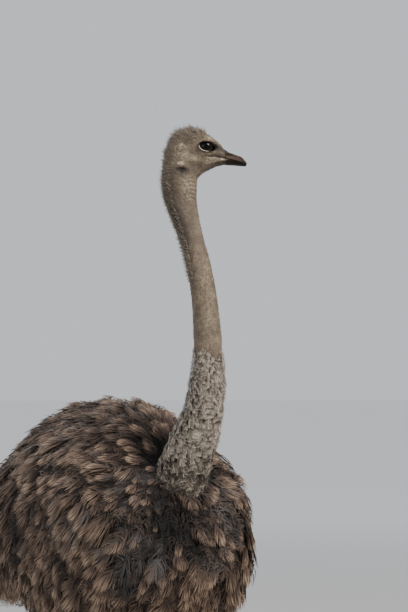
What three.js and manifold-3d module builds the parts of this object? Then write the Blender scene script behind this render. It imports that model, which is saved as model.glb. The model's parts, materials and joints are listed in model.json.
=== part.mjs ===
// A hen ostrich standing at rest, life size, with her head turned to her left.
// Millimetres, +Z up. Her breast faces -Y and her left side +X.
// The origin is on the floor, under the middle of her box.
// Every solid is the outline of the plumage or of the bare skin, out to the tips of the feathers.
import * as THREE from "three";
import { mergeVertices } from "three/addons/utils/BufferGeometryUtils.js";
import Module from "manifold-3d";

const wasm = await Module();
wasm.setup();

// Driving sizes
const EYE_HEIGHT = 1816; // middle of the eyes above the floor
const HEAD_TURN = 65; // degrees that the head is turned to her left
const GAP = 0.3; // left between two solids that touch
const PART = 0.012; // width of a thin cut across the spine, in stations
const STRIDE = 46; // how far each foot is ahead of or behind the middle of the stance
const STANCE = 42; // how far the middle of the stance is behind the middle of the trunk

const deg = THREE.MathUtils.degToRad;
const vec = (x, y, z) => new THREE.Vector3(x, y, z);

// ---------- lofts ----------

// A smooth value at place s along keys numbered 0, 1, 2 ...: a cubic through every key.
function smooth(keys, s) {
  const last = keys.length - 1;
  const k = Math.min(Math.max(Math.floor(s), 0), last - 1);
  const t = s - k;
  const slope = (i) => (keys[Math.min(i + 1, last)] - keys[Math.max(i - 1, 0)]) / (i === 0 || i === last ? 1 : 2);
  const [a, b] = [keys[k], keys[k + 1]];
  const [ma, mb] = [slope(k), slope(k + 1)];
  return a + t * (ma + t * (3 * (b - a) - 2 * ma - mb + t * (2 * (a - b) + ma + mb)));
}

// The section at place s: its top and bottom points, its sideways direction and its form.
function sectionAt(stations, s) {
  const value = (pick) => smooth(stations.map(pick), s);
  const point = (name) => vec(value((v) => v[name].x), value((v) => v[name].y), value((v) => v[name].z));
  return {
    top: point("top"),
    bottom: point("bottom"),
    side: point("side").normalize(),
    half: value((v) => v.half),
    widest: value((v) => v.widest),
    crown: value((v) => v.crown),
    keel: value((v) => v.keel),
  };
}

// The point of a section at a share of a turn from its top, pushed out by grow.
// widest is where it is widest, from -1 at the bottom to 1 at the top.
// crown and keel are how square it is above and below.
function onSection(section, turn, grow = 0) {
  const { top, bottom, side, half, widest, crown, keel } = section;
  const c = Math.cos(2 * Math.PI * turn);
  const above = c > widest;
  const reach = above ? (c - widest) / (1 - widest) : (widest - c) / (1 + widest);
  const power = above ? crown : keel;
  const out = Math.max(0, 1 - Math.min(1, reach) ** power) ** (1 / power);
  const sideways = (half + grow) * out * Math.sign(Math.sin(2 * Math.PI * turn));
  const middle = top.clone().add(bottom).multiplyScalar(0.5);
  const rise = top.clone().sub(middle);
  const height = rise.length() + grow;
  return middle.addScaledVector(rise.normalize(), height * c).addScaledVector(side, sideways);
}

// A closed tube: place(turn, run) gives its surface at that share of a turn and of its length.
function tube(around, along, place) {
  const raw = new THREE.CylinderGeometry(1, 1, 1, around, along);
  raw.deleteAttribute("normal");
  raw.deleteAttribute("uv");
  const geometry = mergeVertices(raw, 1e-4);
  const position = geometry.getAttribute("position");
  for (let i = 0; i < position.count; i++) {
    const [x, y, z] = [position.getX(i), position.getY(i), position.getZ(i)];
    const run = y + 0.5;
    const point = vec(0, 0, 0);
    if (Math.hypot(x, z) > 0.5) point.copy(place(Math.atan2(x, z) / (2 * Math.PI), run));
    else for (let k = 0; k < around; k++) point.addScaledVector(place(k / around, run), 1 / around);
    position.setXYZ(i, point.x, point.y, point.z);
  }
  return solidOf(geometry);
}

// A manifold solid from a closed geometry, whichever way its faces point.
function solidOf(geometry) {
  const bare = geometry.clone();
  bare.deleteAttribute("normal");
  bare.deleteAttribute("uv");
  const merged = mergeVertices(bare, 1e-4);
  const vertProperties = merged.getAttribute("position").array;
  const triVerts = new Uint32Array(merged.index.array);
  const made = new wasm.Manifold(new wasm.Mesh({ numProp: 3, vertProperties, triVerts }));
  if (made.volume() > 0) return made;
  for (let i = 0; i < triVerts.length; i += 3) [triVerts[i], triVerts[i + 1]] = [triVerts[i + 1], triVerts[i]];
  return new wasm.Manifold(new wasm.Mesh({ numProp: 3, vertProperties, triVerts }));
}

// The stretch of a row of stations between two places, as one closed solid, pushed out all round by grow.
function span(stations, from, to, around, along, grow = 0) {
  const sections = [];
  for (let i = 0; i <= along; i++) sections.push(sectionAt(stations, from + ((to - from) * i) / along));
  const middle = ({ top, bottom }) => top.clone().add(bottom).multiplyScalar(0.5);
  for (const [end, next] of [[0, 1], [along, along - 1]]) {
    const away = middle(sections[end]).sub(middle(sections[next])).normalize().multiplyScalar(grow);
    sections[end].top.add(away);
    sections[end].bottom.add(away);
  }
  return tube(around, along, (turn, run) => onSection(sections[Math.round(run * along)], turn, grow));
}

// A station of a limb: its middle, the unit direction to its front, and its half depth and half width.
function limbStation(middle, forward, depth, half, form = {}) {
  return {
    top: middle.clone().addScaledVector(forward, depth),
    bottom: middle.clone().addScaledVector(forward, -depth),
    side: vec(1, 0, 0),
    half,
    widest: 0,
    crown: 2,
    keel: 2,
    ...form,
  };
}

// ---------- trunk ----------

const TRUNK_FORM = { crown: 1.95, keel: 2.6 }; // round over the back, squarer under the belly

// In the plane of symmetry, from the tail forward: back point, belly point, half width, and where it is widest.
const TRUNK = [
  { back: [606, 930], belly: [600, 898], half: 24, widest: 0 },
  { back: [575, 1000], belly: [560, 846], half: 96, widest: 0 },
  { back: [505, 1068], belly: [478, 780], half: 166, widest: -0.05 },
  { back: [392, 1138], belly: [362, 718], half: 208, widest: -0.1 },
  { back: [252, 1194], belly: [205, 660], half: 236, widest: -0.14 },
  { back: [105, 1222], belly: [25, 616], half: 246, widest: -0.16 },
  { back: [-30, 1226], belly: [-145, 598], half: 248, widest: -0.16 },
  { back: [-150, 1219], belly: [-290, 610], half: 234, widest: -0.1 },
  { back: [-254, 1200], belly: [-400, 656], half: 213, widest: -0.04 },
  { back: [-342, 1154], belly: [-472, 728], half: 183, widest: 0.02 },
  { back: [-414, 1084], belly: [-515, 806], half: 144, widest: 0.06 },
  { back: [-468, 1004], belly: [-525, 876], half: 88, widest: 0.04 },
  { back: [-500, 944], belly: [-513, 916], half: 24, widest: 0 },
].map(({ back, belly, half, widest }) => ({
  top: vec(0, ...back),
  bottom: vec(0, ...belly),
  side: vec(1, 0, 0),
  half,
  widest,
  ...TRUNK_FORM,
}));

// ---------- neck, head and bill: one row of stations from inside the breast to the tip of the bill ----------

// Neck: its middle line, half depth, half width, and how far it has turned to her left.
const NECK = [
  { middle: [2, -330, 950], depth: 64, half: 62, turn: 0 },
  { middle: [6, -388, 1030], depth: 61, half: 60, turn: 0 },
  { middle: [18, -440, 1113], depth: 58, half: 57, turn: 2 },
  { middle: [25, -480, 1184], depth: 50, half: 48, turn: 6 },
  { middle: [25, -505, 1253], depth: 44.5, half: 43, turn: 12 },
  { middle: [22, -518, 1322], depth: 37, half: 36, turn: 20 },
  { middle: [18, -518, 1391], depth: 32.5, half: 31.5, turn: 32 },
  { middle: [15, -509, 1461], depth: 30, half: 29, turn: 44 },
  { middle: [12, -487, 1532], depth: 28, half: 27, turn: 54 },
  { middle: [5, -456, 1604], depth: 28.5, half: 27, turn: 62 },
];

// The direction from the throat side to the nape side of the neck, square to its middle line.
function neckStations() {
  return NECK.map(({ middle, depth, half, turn }, i) => {
    const before = NECK[Math.max(i - 1, 0)].middle;
    const after = NECK[Math.min(i + 1, NECK.length - 1)].middle;
    const rise = vec(...after).sub(vec(...before)).normalize();
    const nape = vec(-Math.sin(deg(turn)), Math.cos(deg(turn)), 0);
    nape.addScaledVector(rise, -nape.dot(rise)).normalize();
    const side = nape.clone().cross(rise).normalize();
    const forward = nape.clone().negate();
    return limbStation(vec(...middle), forward, -depth, half, { side });
  });
}

// The head's own frame: x to the bill, y to the far side, z up, with its origin midway between the eyes.
const headFrame = new THREE.Matrix4().makeRotationZ(deg(HEAD_TURN - 90)).setPosition(49, -448, EYE_HEIGHT);
const inHead = (x, y, z) => vec(x, y, z).applyMatrix4(headFrame);

// Nape, head and bill: upper outline, lower outline, half width, where it is widest, and how square it is.
const HEAD = [
  { top: [-95, -138], bottom: [-21, -134], half: 29, widest: 0, crown: 2, keel: 2 },
  { top: [-103, -98], bottom: [-21, -96], half: 32, widest: 0, crown: 2, keel: 2 },
  { top: [-103, -66], bottom: [-20, -78], half: 33, widest: 0, crown: 2, keel: 2 },
  { top: [-99, -34], bottom: [-12, -68], half: 33, widest: 0.05, crown: 2, keel: 1.9 },
  { top: [-93, -5], bottom: [-3, -61], half: 33, widest: 0.1, crown: 2.1, keel: 1.9 },
  { top: [-79, 23], bottom: [6, -57], half: 33, widest: 0.15, crown: 2.2, keel: 1.9 },
  { top: [-52, 37], bottom: [14, -52.5], half: 34, widest: 0.2, crown: 2.3, keel: 1.9 },
  { top: [-20, 36], bottom: [22, -49], half: 35, widest: 0.25, crown: 2.4, keel: 1.9 },
  { top: [5, 26], bottom: [29, -46.5], half: 34, widest: 0.2, crown: 2.3, keel: 2 },
  { top: [23, 13], bottom: [36, -45], half: 31, widest: 0.05, crown: 2.1, keel: 2.2 },
  { top: [38, -1], bottom: [43, -44.5], half: 28, widest: -0.1, crown: 2, keel: 2.4 },
  { top: [51, -13], bottom: [52, -44.5], half: 26, widest: -0.15, crown: 1.9, keel: 2.4 },
  { top: [64, -19], bottom: [64, -45], half: 23.5, widest: -0.1, crown: 1.9, keel: 2.4 },
  { top: [76, -25.5], bottom: [76, -46], half: 20, widest: -0.1, crown: 2, keel: 2.4 },
  { top: [86, -32.5], bottom: [86, -47], half: 14.5, widest: 0, crown: 2, keel: 2.2 },
  { top: [96, -40.5], bottom: [94, -47.5], half: 6, widest: 0, crown: 2, keel: 2 },
].map(({ top, bottom, ...form }) => ({
  top: inHead(top[0], 0, top[1]),
  bottom: inHead(bottom[0], 0, bottom[1]),
  side: vec(0, 1, 0).transformDirection(headFrame),
  ...form,
}));

const SPINE = [...neckStations(), ...HEAD];
const COLLAR = 5.1; // station where the down of the lower neck ends
const HEAD_START = NECK.length + 2.5; // just under the jaw
const BILL_START = SPINE.length - 5.4; // where the horn begins

// ---------- the pieces of the head ----------

const EYE = { radius: 21, forward: -1, aside: 22, up: -5 };
const ORBIT = { long: 25, thick: 13, high: 21, aside: 25 };
const EAR = { forward: -57, up: -58, aside: 32, radius: 8 };
const NOSTRIL = { forward: 55, up: -22.5, aside: 19, long: 6, high: 2.2 };
// The line of the gape as a curve from the corner of the mouth past the tip, and the size of the block under it.
const GAPE = { corner: [0, -26], bend: [48, -28], end: [110, -47], depth: 120, width: 120 };

// An ellipsoid in the head's frame, with its half lengths to the front, aside and up.
function headEllipsoid([x, y, z], [long, thick, high], around = 12, rings = 9) {
  const ball = new THREE.SphereGeometry(1, around, rings);
  ball.scale(long, high, thick).rotateX(Math.PI / 2);
  ball.translate(x, y, z).applyMatrix4(headFrame);
  return solidOf(ball);
}

const sides = { right: -1, left: 1 }; // in the head's frame her right eye is on the near, -Y side

function eyeball(sign, grow = 0) {
  const r = EYE.radius + grow;
  return headEllipsoid([EYE.forward, sign * EYE.aside, EYE.up], [r, r, r]);
}

function headSolid() {
  let head = span(SPINE, HEAD_START + PART, BILL_START - PART, 24, 13);
  for (const sign of Object.values(sides)) {
    const orbit = [ORBIT.long, ORBIT.thick, ORBIT.high];
    head = head.add(headEllipsoid([EYE.forward, sign * ORBIT.aside, EYE.up], orbit));
    head = head.subtract(eyeball(sign, GAP));
    const ear = [EAR.radius, EAR.radius / 2, EAR.radius / 2];
    head = head.subtract(headEllipsoid([EAR.forward, sign * EAR.aside, EAR.up], ear, 8, 5));
  }
  return head;
}

// Everything of the head under the line of the gape, moved down by drop.
function underGape(drop) {
  const { corner, bend, end, depth, width } = GAPE;
  const line = new THREE.Shape();
  line.moveTo(corner[0], corner[1] - drop);
  line.quadraticCurveTo(bend[0], bend[1] - drop, end[0], end[1] - drop);
  line.lineTo(end[0], -depth);
  line.lineTo(corner[0], -depth);
  const slab = new THREE.ExtrudeGeometry(line, { depth: width, bevelEnabled: false, curveSegments: 8 });
  slab.rotateX(Math.PI / 2).translate(0, width / 2, 0).applyMatrix4(headFrame);
  return solidOf(slab);
}

function billSolids() {
  const bill = span(SPINE, BILL_START + PART, SPINE.length - 1, 20, 6);
  let upper = bill.subtract(underGape(0));
  for (const sign of Object.values(sides)) {
    const size = [NOSTRIL.long, NOSTRIL.high, NOSTRIL.high];
    upper = upper.subtract(headEllipsoid([NOSTRIL.forward, sign * NOSTRIL.aside, NOSTRIL.up], size, 8, 6));
  }
  return { upper, lower: bill.intersect(underGape(GAP)) };
}

// ---------- trunk, wings and tail ----------

const trunk = (grow = 0) => span(TRUNK, 0, TRUNK.length - 1, 32, 20, grow);

// A folded wing: a pad of plumes that lies on the trunk from the shoulder to the rump.
// top and foot are its edges as shares of a turn around the trunk.
// droop is how much lower they are at its rear end.
const WING = { front: 10.3, rear: 1.6, top: 0.095, foot: 0.362, droop: 0.03, thick: 20, rootDepth: 14 };
const WING_ROUND = { narrowing: 0.85, corner: 3, ends: 0.6, edge: 0.45 }; // how its outline and edges round off
const STATION_GAP = 60; // the least distance along the back between two stations of the trunk under the wings
const LEAST_GIRTH = 700; // the least distance around the trunk under the wings

function wing(sign, grow = 0) {
  return tube(20, 11, (turn, run) => {
    const outer = turn >= 0 && turn < 0.5;
    const across = outer ? turn * 2 : -turn * 2;
    const narrowed = WING_ROUND.narrowing * Math.abs(2 * run - 1) ** WING_ROUND.corner;
    const endRound = (1 - narrowed) ** WING_ROUND.ends;
    const fullness = Math.sin(Math.PI * across) ** WING_ROUND.edge * Math.sqrt(endRound);
    const lift = outer ? (WING.thick + WING.rootDepth) * fullness : 0;
    const middle = (WING.top + WING.foot) / 2 + WING.droop * run;
    const place = middle + (across - 0.5) * ((WING.foot - WING.top) * endRound + (2 * grow) / LEAST_GIRTH);
    const station = WING.front + (WING.rear - WING.front) * run + (grow / STATION_GAP) * (1 - 2 * run);
    return onSection(sectionAt(TRUNK, station), sign * place, lift - WING.rootDepth + grow);
  });
}

// The tail: a drooping brush of plumes, in the plane of symmetry from its root to its tips.
const TAIL = [
  { outer: [465, 1094], inner: [420, 900], half: 138 },
  { outer: [574, 1022], inner: [508, 816], half: 160 },
  { outer: [644, 930], inner: [562, 752], half: 166 },
  { outer: [680, 830], inner: [602, 706], half: 152 },
  { outer: [693, 738], inner: [636, 668], half: 126 },
  { outer: [688, 664], inner: [664, 642], half: 84 },
].map(({ outer, inner, half }) => ({
  top: vec(0, ...outer),
  bottom: vec(0, ...inner),
  side: vec(1, 0, 0),
  half,
  widest: 0,
  crown: 2,
  keel: 2,
}));

const tail = () =>
  span(TAIL, 0, TAIL.length - 1, 20, 8).subtract(trunk(GAP)).subtract(wing(-1, GAP)).subtract(wing(1, GAP));

// ---------- legs and feet ----------

// Leg: middle (aside, y, z), tilt of its front from level, half depth, half width. The hock is station 6.
const LEG = [
  { at: [125, -70, 860], tilt: 24, depth: 104, half: 70 },
  { at: [127, -44, 775], tilt: 22, depth: 120, half: 80 },
  { at: [127, -10, 692], tilt: 22, depth: 113, half: 76 },
  { at: [124, 28, 612], tilt: 22, depth: 88, half: 60 },
  { at: [120, 58, 546], tilt: 20, depth: 56, half: 43 },
  { at: [117, 75, 500], tilt: 10, depth: 40, half: 34 },
  { at: [116, 79, 465], tilt: 0, depth: 43, half: 36 },
  { at: [115, 76, 430], tilt: -6, depth: 35, half: 30 },
  { at: [112, 65, 368], tilt: -6, depth: 26, half: 22 },
  { at: [108, 50, 262], tilt: -6, depth: 23, half: 19 },
  { at: [105, 37, 155], tilt: -6, depth: 24, half: 20 },
  { at: [103, 28, 88], tilt: -4, depth: 30, half: 26 },
  { at: [102, 22, 40], tilt: 0, depth: 33, half: 29 },
];
const HOCK = 5.3;
const HIP_HEIGHT = 900;

// Where a leg's station is: each leg swings from the hip by its own share of the stride.
function legStations(sign) {
  const step = -sign * STRIDE;
  return LEG.map(({ at: [x, y, z], tilt, depth, half }) => {
    const swing = step * (1 - z / HIP_HEIGHT);
    const forward = vec(0, -Math.cos(deg(tilt)), Math.sin(deg(tilt)));
    return limbStation(vec(sign * x, y + STANCE + swing, z), forward, depth, half);
  });
}

// Toes: rows of [distance ahead of the heel, half width, height], on a line that leaves the foot at an angle.
const INNER_TOE = {
  heel: [98, 29],
  splay: 2,
  rows: [
    [0, 16, 26], [16, 27, 42], [46, 33, 55], [86, 30, 46], [124, 29, 39], [160, 26, 32], [188, 21, 25], [202, 11, 15],
  ],
};
const OUTER_TOE = {
  heel: [104, -1],
  splay: 27,
  rows: [[0, 16, 30], [18, 22, 38], [52, 21, 36], [84, 19, 28], [112, 18, 24], [132, 13, 18], [142, 6, 10]],
};
const CLAW = { start: 184, length: 48, half: 14, height: 24, lift: 2, taper: 1.6, tip: 0.012 };
const TOE_FORM = { widest: -0.3, crown: 2, keel: 2.6 }; // flat and broad on the floor, round above
const FOOT_SWING = 0.95; // the share of the stride that a swinging leg brings to its foot
const SOLE = 5; // how far a toe's round underside would reach below the floor: cutting it there leaves the flat

// A point beside a toe: ahead of its heel, to its outer side, and above the floor.
function besideToe(toe, sign, ahead, aside, up) {
  const angle = deg(toe.splay);
  const x = toe.heel[0] + Math.sin(angle) * ahead + Math.cos(angle) * aside;
  const y = toe.heel[1] - Math.cos(angle) * ahead + Math.sin(angle) * aside;
  return vec(sign * x, y + STANCE - sign * STRIDE * FOOT_SWING, up);
}

function toeStations(toe, sign) {
  return toe.rows.map(([ahead, half, height]) => ({
    top: besideToe(toe, sign, ahead, 0, height),
    bottom: besideToe(toe, sign, ahead, 0, -SOLE),
    side: besideToe(toe, sign, ahead, 1, 0).sub(besideToe(toe, sign, ahead, 0, 0)),
    half,
    ...TOE_FORM,
  }));
}

const ROOM = 4000; // wider than the bird
const aboveFloor = solidOf(new THREE.BoxGeometry(ROOM, ROOM, ROOM).translate(0, 0, ROOM / 2));
const toe = (shape, sign, grow = 0) =>
  span(toeStations(shape, sign), 0, shape.rows.length - 1, 12, 8, grow).intersect(aboveFloor);

// A claw: a blunt horn nail that curves down over the end of the inner toe.
function claw(sign, grow = 0) {
  return tube(10, 5, (turn, run) => {
    const ahead = CLAW.start - grow + (CLAW.length + grow) * run;
    const thin = Math.sqrt(Math.max(CLAW.tip, 1 - run ** CLAW.taper));
    const aside = (CLAW.half * thin + grow) * Math.sin(2 * Math.PI * turn);
    const middle = CLAW.lift + (CLAW.height / 2) * thin;
    const up = middle + ((CLAW.height / 2) * thin + grow) * Math.cos(2 * Math.PI * turn);
    return besideToe(INNER_TOE, sign, ahead, aside, up);
  });
}

// ---------- the bird ----------

const SKIN_GREY = 0x8d8175;
const PLUMAGE = 0x4f443b;
const DOWN = 0x8f877c;
const looks = {
  plumage: new THREE.MeshStandardMaterial({ color: PLUMAGE, roughness: 0.9, metalness: 0 }),
  down: new THREE.MeshStandardMaterial({ color: DOWN, roughness: 0.95, metalness: 0 }),
  skin: new THREE.MeshStandardMaterial({ color: SKIN_GREY, roughness: 0.75, metalness: 0 }),
  horn: new THREE.MeshStandardMaterial({ color: 0x4b3a30, roughness: 0.5, metalness: 0 }),
  eye: new THREE.MeshStandardMaterial({ color: 0x120c0a, roughness: 0.08, metalness: 0 }),
};

const bird = new THREE.Group();

// Adds a solid to the bird as a mesh of that name and look.
function put(name, solid, look) {
  const { vertProperties, triVerts } = solid.getMesh();
  const geometry = new THREE.BufferGeometry();
  geometry.setAttribute("position", new THREE.BufferAttribute(vertProperties, 3));
  geometry.setIndex(new THREE.BufferAttribute(triVerts, 1));
  geometry.computeVertexNormals();
  const mesh = new THREE.Mesh(geometry, looks[look]);
  mesh.name = name;
  bird.add(mesh);
}

put("trunk", trunk(), "plumage");
put("tail", tail(), "plumage");
put("neck_lower", span(SPINE, 0, COLLAR - PART, 22, 8).subtract(trunk(GAP)), "down");
put("neck_upper", span(SPINE, COLLAR + PART, HEAD_START - PART, 20, 11), "skin");
put("head", headSolid(), "skin");

const bill = billSolids();
put("bill_upper", bill.upper, "horn");
put("bill_lower", bill.lower, "horn");

for (const [name, headSign] of Object.entries(sides)) {
  const sign = name === "left" ? 1 : -1;
  put(`eye_${name}`, eyeball(headSign), "eye");
  put(`wing_${name}`, wing(sign).subtract(trunk(GAP)), "plumage");

  const leg = legStations(sign);
  const thigh = span(leg, 0, HOCK - PART, 18, 7);
  put(`thigh_${name}`, thigh.subtract(trunk(GAP)).subtract(wing(sign, GAP)), "skin");
  const shank = (grow) => span(leg, HOCK + PART, leg.length - 1, 16, 10, grow);
  put(`shank_${name}`, shank(0), "skin");

  const nail = claw(sign);
  const inner = toe(INNER_TOE, sign).subtract(shank(GAP));
  put(`toe_inner_${name}`, inner.subtract(claw(sign, GAP)), "skin");
  const outer = toe(OUTER_TOE, sign).subtract(shank(GAP));
  put(`toe_outer_${name}`, outer.subtract(toe(INNER_TOE, sign, GAP)), "skin");
  put(`claw_${name}`, nail, "horn");
}

// The origin is on the floor under the middle of the bird's box.
const box = new THREE.Box3().setFromObject(bird);
const centre = box.getCenter(vec(0, 0, 0));
bird.position.set(-centre.x, -centre.y, -box.min.z);

export default bird;
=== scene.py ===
"""A hen ostrich, life size: skin, plumes, down, bristles, eyes, bill and claws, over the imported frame."""

import json
import logging
from dataclasses import dataclass, replace
from enum import Enum
from typing import Callable, Iterable, Sequence

import bpy
import numpy as np
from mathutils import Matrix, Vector

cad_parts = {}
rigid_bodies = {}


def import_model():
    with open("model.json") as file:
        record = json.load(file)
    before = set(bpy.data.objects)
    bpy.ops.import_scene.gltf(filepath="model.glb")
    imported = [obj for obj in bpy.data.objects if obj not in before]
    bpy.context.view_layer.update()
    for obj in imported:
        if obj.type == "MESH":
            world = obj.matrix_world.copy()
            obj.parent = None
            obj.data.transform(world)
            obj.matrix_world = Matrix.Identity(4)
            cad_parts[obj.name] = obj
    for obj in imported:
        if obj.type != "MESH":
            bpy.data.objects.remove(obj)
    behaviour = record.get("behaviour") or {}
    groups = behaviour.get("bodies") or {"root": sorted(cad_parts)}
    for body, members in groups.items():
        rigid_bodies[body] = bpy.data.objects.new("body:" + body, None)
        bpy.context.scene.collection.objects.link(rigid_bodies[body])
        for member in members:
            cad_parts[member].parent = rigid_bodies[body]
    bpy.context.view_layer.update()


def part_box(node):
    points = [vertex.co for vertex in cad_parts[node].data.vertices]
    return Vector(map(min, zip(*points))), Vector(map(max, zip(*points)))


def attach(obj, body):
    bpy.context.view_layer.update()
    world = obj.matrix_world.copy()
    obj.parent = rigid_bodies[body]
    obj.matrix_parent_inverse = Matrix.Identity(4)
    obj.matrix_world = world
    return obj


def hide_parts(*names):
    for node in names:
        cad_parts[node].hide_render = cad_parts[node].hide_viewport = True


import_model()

log = logging.getLogger("ostrich")
logging.basicConfig(level=logging.INFO, format="%(name)s: %(message)s")

Array = np.ndarray
Thing = bpy.types.Object
Material = bpy.types.Material
Pair = tuple[float, float]
Triple = tuple[float, float, float]
Field = Callable[[Array], Array]
Lie = Callable[[Array, Array], Array]
Relief = Callable[[Array, Array, Array], Array]
MM = 0.001


class Slot(Enum):
    """The record's material slots."""

    PLUMAGE = "plumage"
    DOWN = "down"
    SKIN = "skin"
    HORN = "horn"
    EYE = "eye"


class Side(Enum):
    """The bird's own sides. The value is the sign of X."""

    RIGHT = -1
    LEFT = 1

    @property
    def word(self) -> str:
        """The side's name in a node's name."""
        return self.name.lower()


# ---- arithmetic on arrays


def unit(vectors: Array) -> Array:
    """Scales vectors, along the last axis, to length one."""
    return vectors / np.maximum(np.linalg.norm(vectors, axis=-1, keepdims=True), 1e-12)


def dot(a: Array, b: Array) -> Array:
    """The dot product of each pair of vectors, kept as a column."""
    return np.sum(a * b, axis=-1, keepdims=True)


def step(low: float, high: float, value: Array) -> Array:
    """A smooth step from 0 at low to 1 at high."""
    t = np.clip((value - low) / (high - low), 0.0, 1.0)
    return t * t * (3 - 2 * t)


def smooth(keys: Array, place: Array) -> Array:
    """Runs a cubic through rows of keys numbered 0, 1, 2 ...

    Args:
        keys: a row of values for each key.
        place: where to read them.

    Returns:
        A row of values for each place.
    """
    last = len(keys) - 1
    low = np.clip(np.floor(place), 0, last - 1).astype(int)
    t = (place - low)[:, None]
    slope = np.empty_like(keys)
    slope[1:-1] = (keys[2:] - keys[:-2]) / 2
    slope[0] = keys[1] - keys[0]
    slope[-1] = keys[-1] - keys[-2]
    a, b, ma, mb = keys[low], keys[low + 1], slope[low], slope[low + 1]
    return a + t * (ma + t * (3 * (b - a) - 2 * ma - mb + t * (2 * (a - b) + ma + mb)))


def ripple(points: Array, wavelength: float, seed: int) -> Array:
    """Soft noise made of a few crossing waves.

    Args:
        points: where to read it.
        wavelength: the size of its lumps, in the unit of the points.
        seed: picks the waves.

    Returns:
        About -1 to 1 for each point.
    """
    waves = np.random.default_rng(seed)
    total = np.zeros(len(points))
    for _ in range(6):
        direction = unit(waves.normal(size=3)) * 2 * np.pi / (wavelength * waves.uniform(0.7, 1.5))
        total += np.sin(points @ direction + waves.uniform(0, 2 * np.pi))
    return total / 3


# ---- the bird's measures


@dataclass(frozen=True)
class Station:
    """One cross-section of a loft, in millimetres, in the bird's own axes.

    widest is where it is widest, from -1 at the bottom to 1 at the top. crown and keel are how square it is.
    """

    top: Array
    bottom: Array
    side: Array
    half: float
    widest: float = 0.0
    crown: float = 2.0
    keel: float = 2.0


@dataclass(frozen=True)
class HeadAxes:
    """The head's own axes: x to the bill, y to her left, z up, from midway between the eyes. Millimetres."""

    turn: float = 65.0
    middle: Triple = (49.0, -448.0, 1816.0)

    def axes(self) -> Array:
        """The head's axes as rows, in the bird's axes."""
        angle = np.radians(self.turn - 90)
        c, s = np.cos(angle), np.sin(angle)
        return np.array([[c, s, 0], [-s, c, 0], [0, 0, 1]])

    def out(self, points: Array) -> Array:
        """From the head's axes to the bird's axes."""
        return points @ self.axes() + np.array(self.middle)

    def into(self, points: Array) -> Array:
        """From the bird's axes to the head's axes."""
        return (points - np.array(self.middle)) @ self.axes().T


HEAD = HeadAxes()
EYE_RADIUS = 21.0
EYE_FORWARD = -1.0
EYE_ASIDE = 22.0
EYE_UP = -5.0


def row_origin() -> Array:
    """Where the bird's own axes start, in the frame, found from its two eyes."""
    eyes = [np.mean(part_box(f"eye_{side.word}"), axis=0) for side in Side]
    return np.mean(eyes, axis=0) - HEAD.out(np.array([EYE_FORWARD, 0, EYE_UP])) * MM


ORIGIN = row_origin()


def place(points: Array) -> Array:
    """From the bird's axes in millimetres to the frame in metres."""
    return points * MM + ORIGIN


def back_to_bird(points: Array) -> Array:
    """From the frame in metres to the bird's axes in millimetres."""
    return (points - ORIGIN) / MM


# In the plane of symmetry, from the tail forward: back (y, z), belly (y, z), half width, widest.
TRUNK_KEYS = (
    ((606, 930), (600, 898), 24, 0.0), ((575, 1000), (560, 846), 96, 0.0),
    ((505, 1068), (478, 780), 166, -0.05), ((392, 1138), (362, 718), 208, -0.1),
    ((252, 1194), (205, 660), 236, -0.14), ((105, 1222), (25, 616), 246, -0.16),
    ((-30, 1226), (-145, 598), 248, -0.16), ((-150, 1219), (-290, 610), 234, -0.1),
    ((-254, 1200), (-400, 656), 213, -0.04), ((-342, 1154), (-472, 728), 183, 0.02),
    ((-414, 1084), (-515, 806), 144, 0.06), ((-468, 1004), (-525, 876), 88, 0.04),
    ((-500, 944), (-513, 916), 24, 0.0),
)
# The tail brush from root to tips: outer (y, z), inner (y, z), half width.
TAIL_KEYS = (
    ((465, 1094), (420, 900), 138), ((574, 1022), (508, 816), 160), ((644, 930), (562, 752), 166),
    ((680, 830), (602, 706), 152), ((693, 738), (636, 668), 126), ((688, 664), (664, 642), 84),
)
# The neck from inside the breast upwards: middle line, half depth, half width, degrees turned to her left.
NECK_KEYS = (
    ((2, -330, 950), 64, 62, 0), ((6, -388, 1030), 61, 60, 0), ((18, -440, 1113), 58, 57, 2),
    ((25, -480, 1184), 50, 48, 6), ((25, -505, 1253), 44.5, 43, 12), ((22, -518, 1322), 37, 36, 20),
    ((18, -518, 1391), 32.5, 31.5, 32), ((15, -509, 1461), 30, 29, 44), ((12, -487, 1532), 28, 27, 54),
    ((5, -456, 1604), 28.5, 27, 62),
)
# Nape, head and bill in the head's axes: upper (x, z), lower (x, z), half width, widest, crown, keel.
HEAD_KEYS = (
    ((-95, -138), (-21, -134), 29, 0, 2, 2), ((-103, -98), (-21, -96), 32, 0, 2, 2),
    ((-103, -66), (-20, -78), 33, 0, 2, 2), ((-99, -34), (-12, -68), 33, 0.05, 2, 1.9),
    ((-93, -5), (-3, -61), 33, 0.1, 2.1, 1.9), ((-79, 23), (6, -57), 33, 0.15, 2.2, 1.9),
    ((-52, 37), (14, -52.5), 34, 0.2, 2.3, 1.9), ((-20, 36), (22, -49), 35, 0.25, 2.4, 1.9),
    ((5, 26), (29, -46.5), 34, 0.2, 2.3, 2), ((23, 13), (36, -45), 31, 0.05, 2.1, 2.2),
    ((38, -1), (43, -44.5), 28, -0.1, 2, 2.4), ((51, -13), (52, -44.5), 26, -0.15, 1.9, 2.4),
    ((64, -19), (64, -45), 23.5, -0.1, 1.9, 2.4), ((76, -25.5), (76, -46), 20, -0.1, 2, 2.4),
    ((86, -32.5), (86, -47), 14.5, 0, 2, 2.2), ((96, -40.5), (94, -47.5), 6, 0, 2, 2),
)
COLLAR = 5.1
BREAST_FRONT = -526.0
BILL_START = len(NECK_KEYS) + len(HEAD_KEYS) - 5.4
SPINE_END = len(NECK_KEYS) + len(HEAD_KEYS) - 1.0
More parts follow.
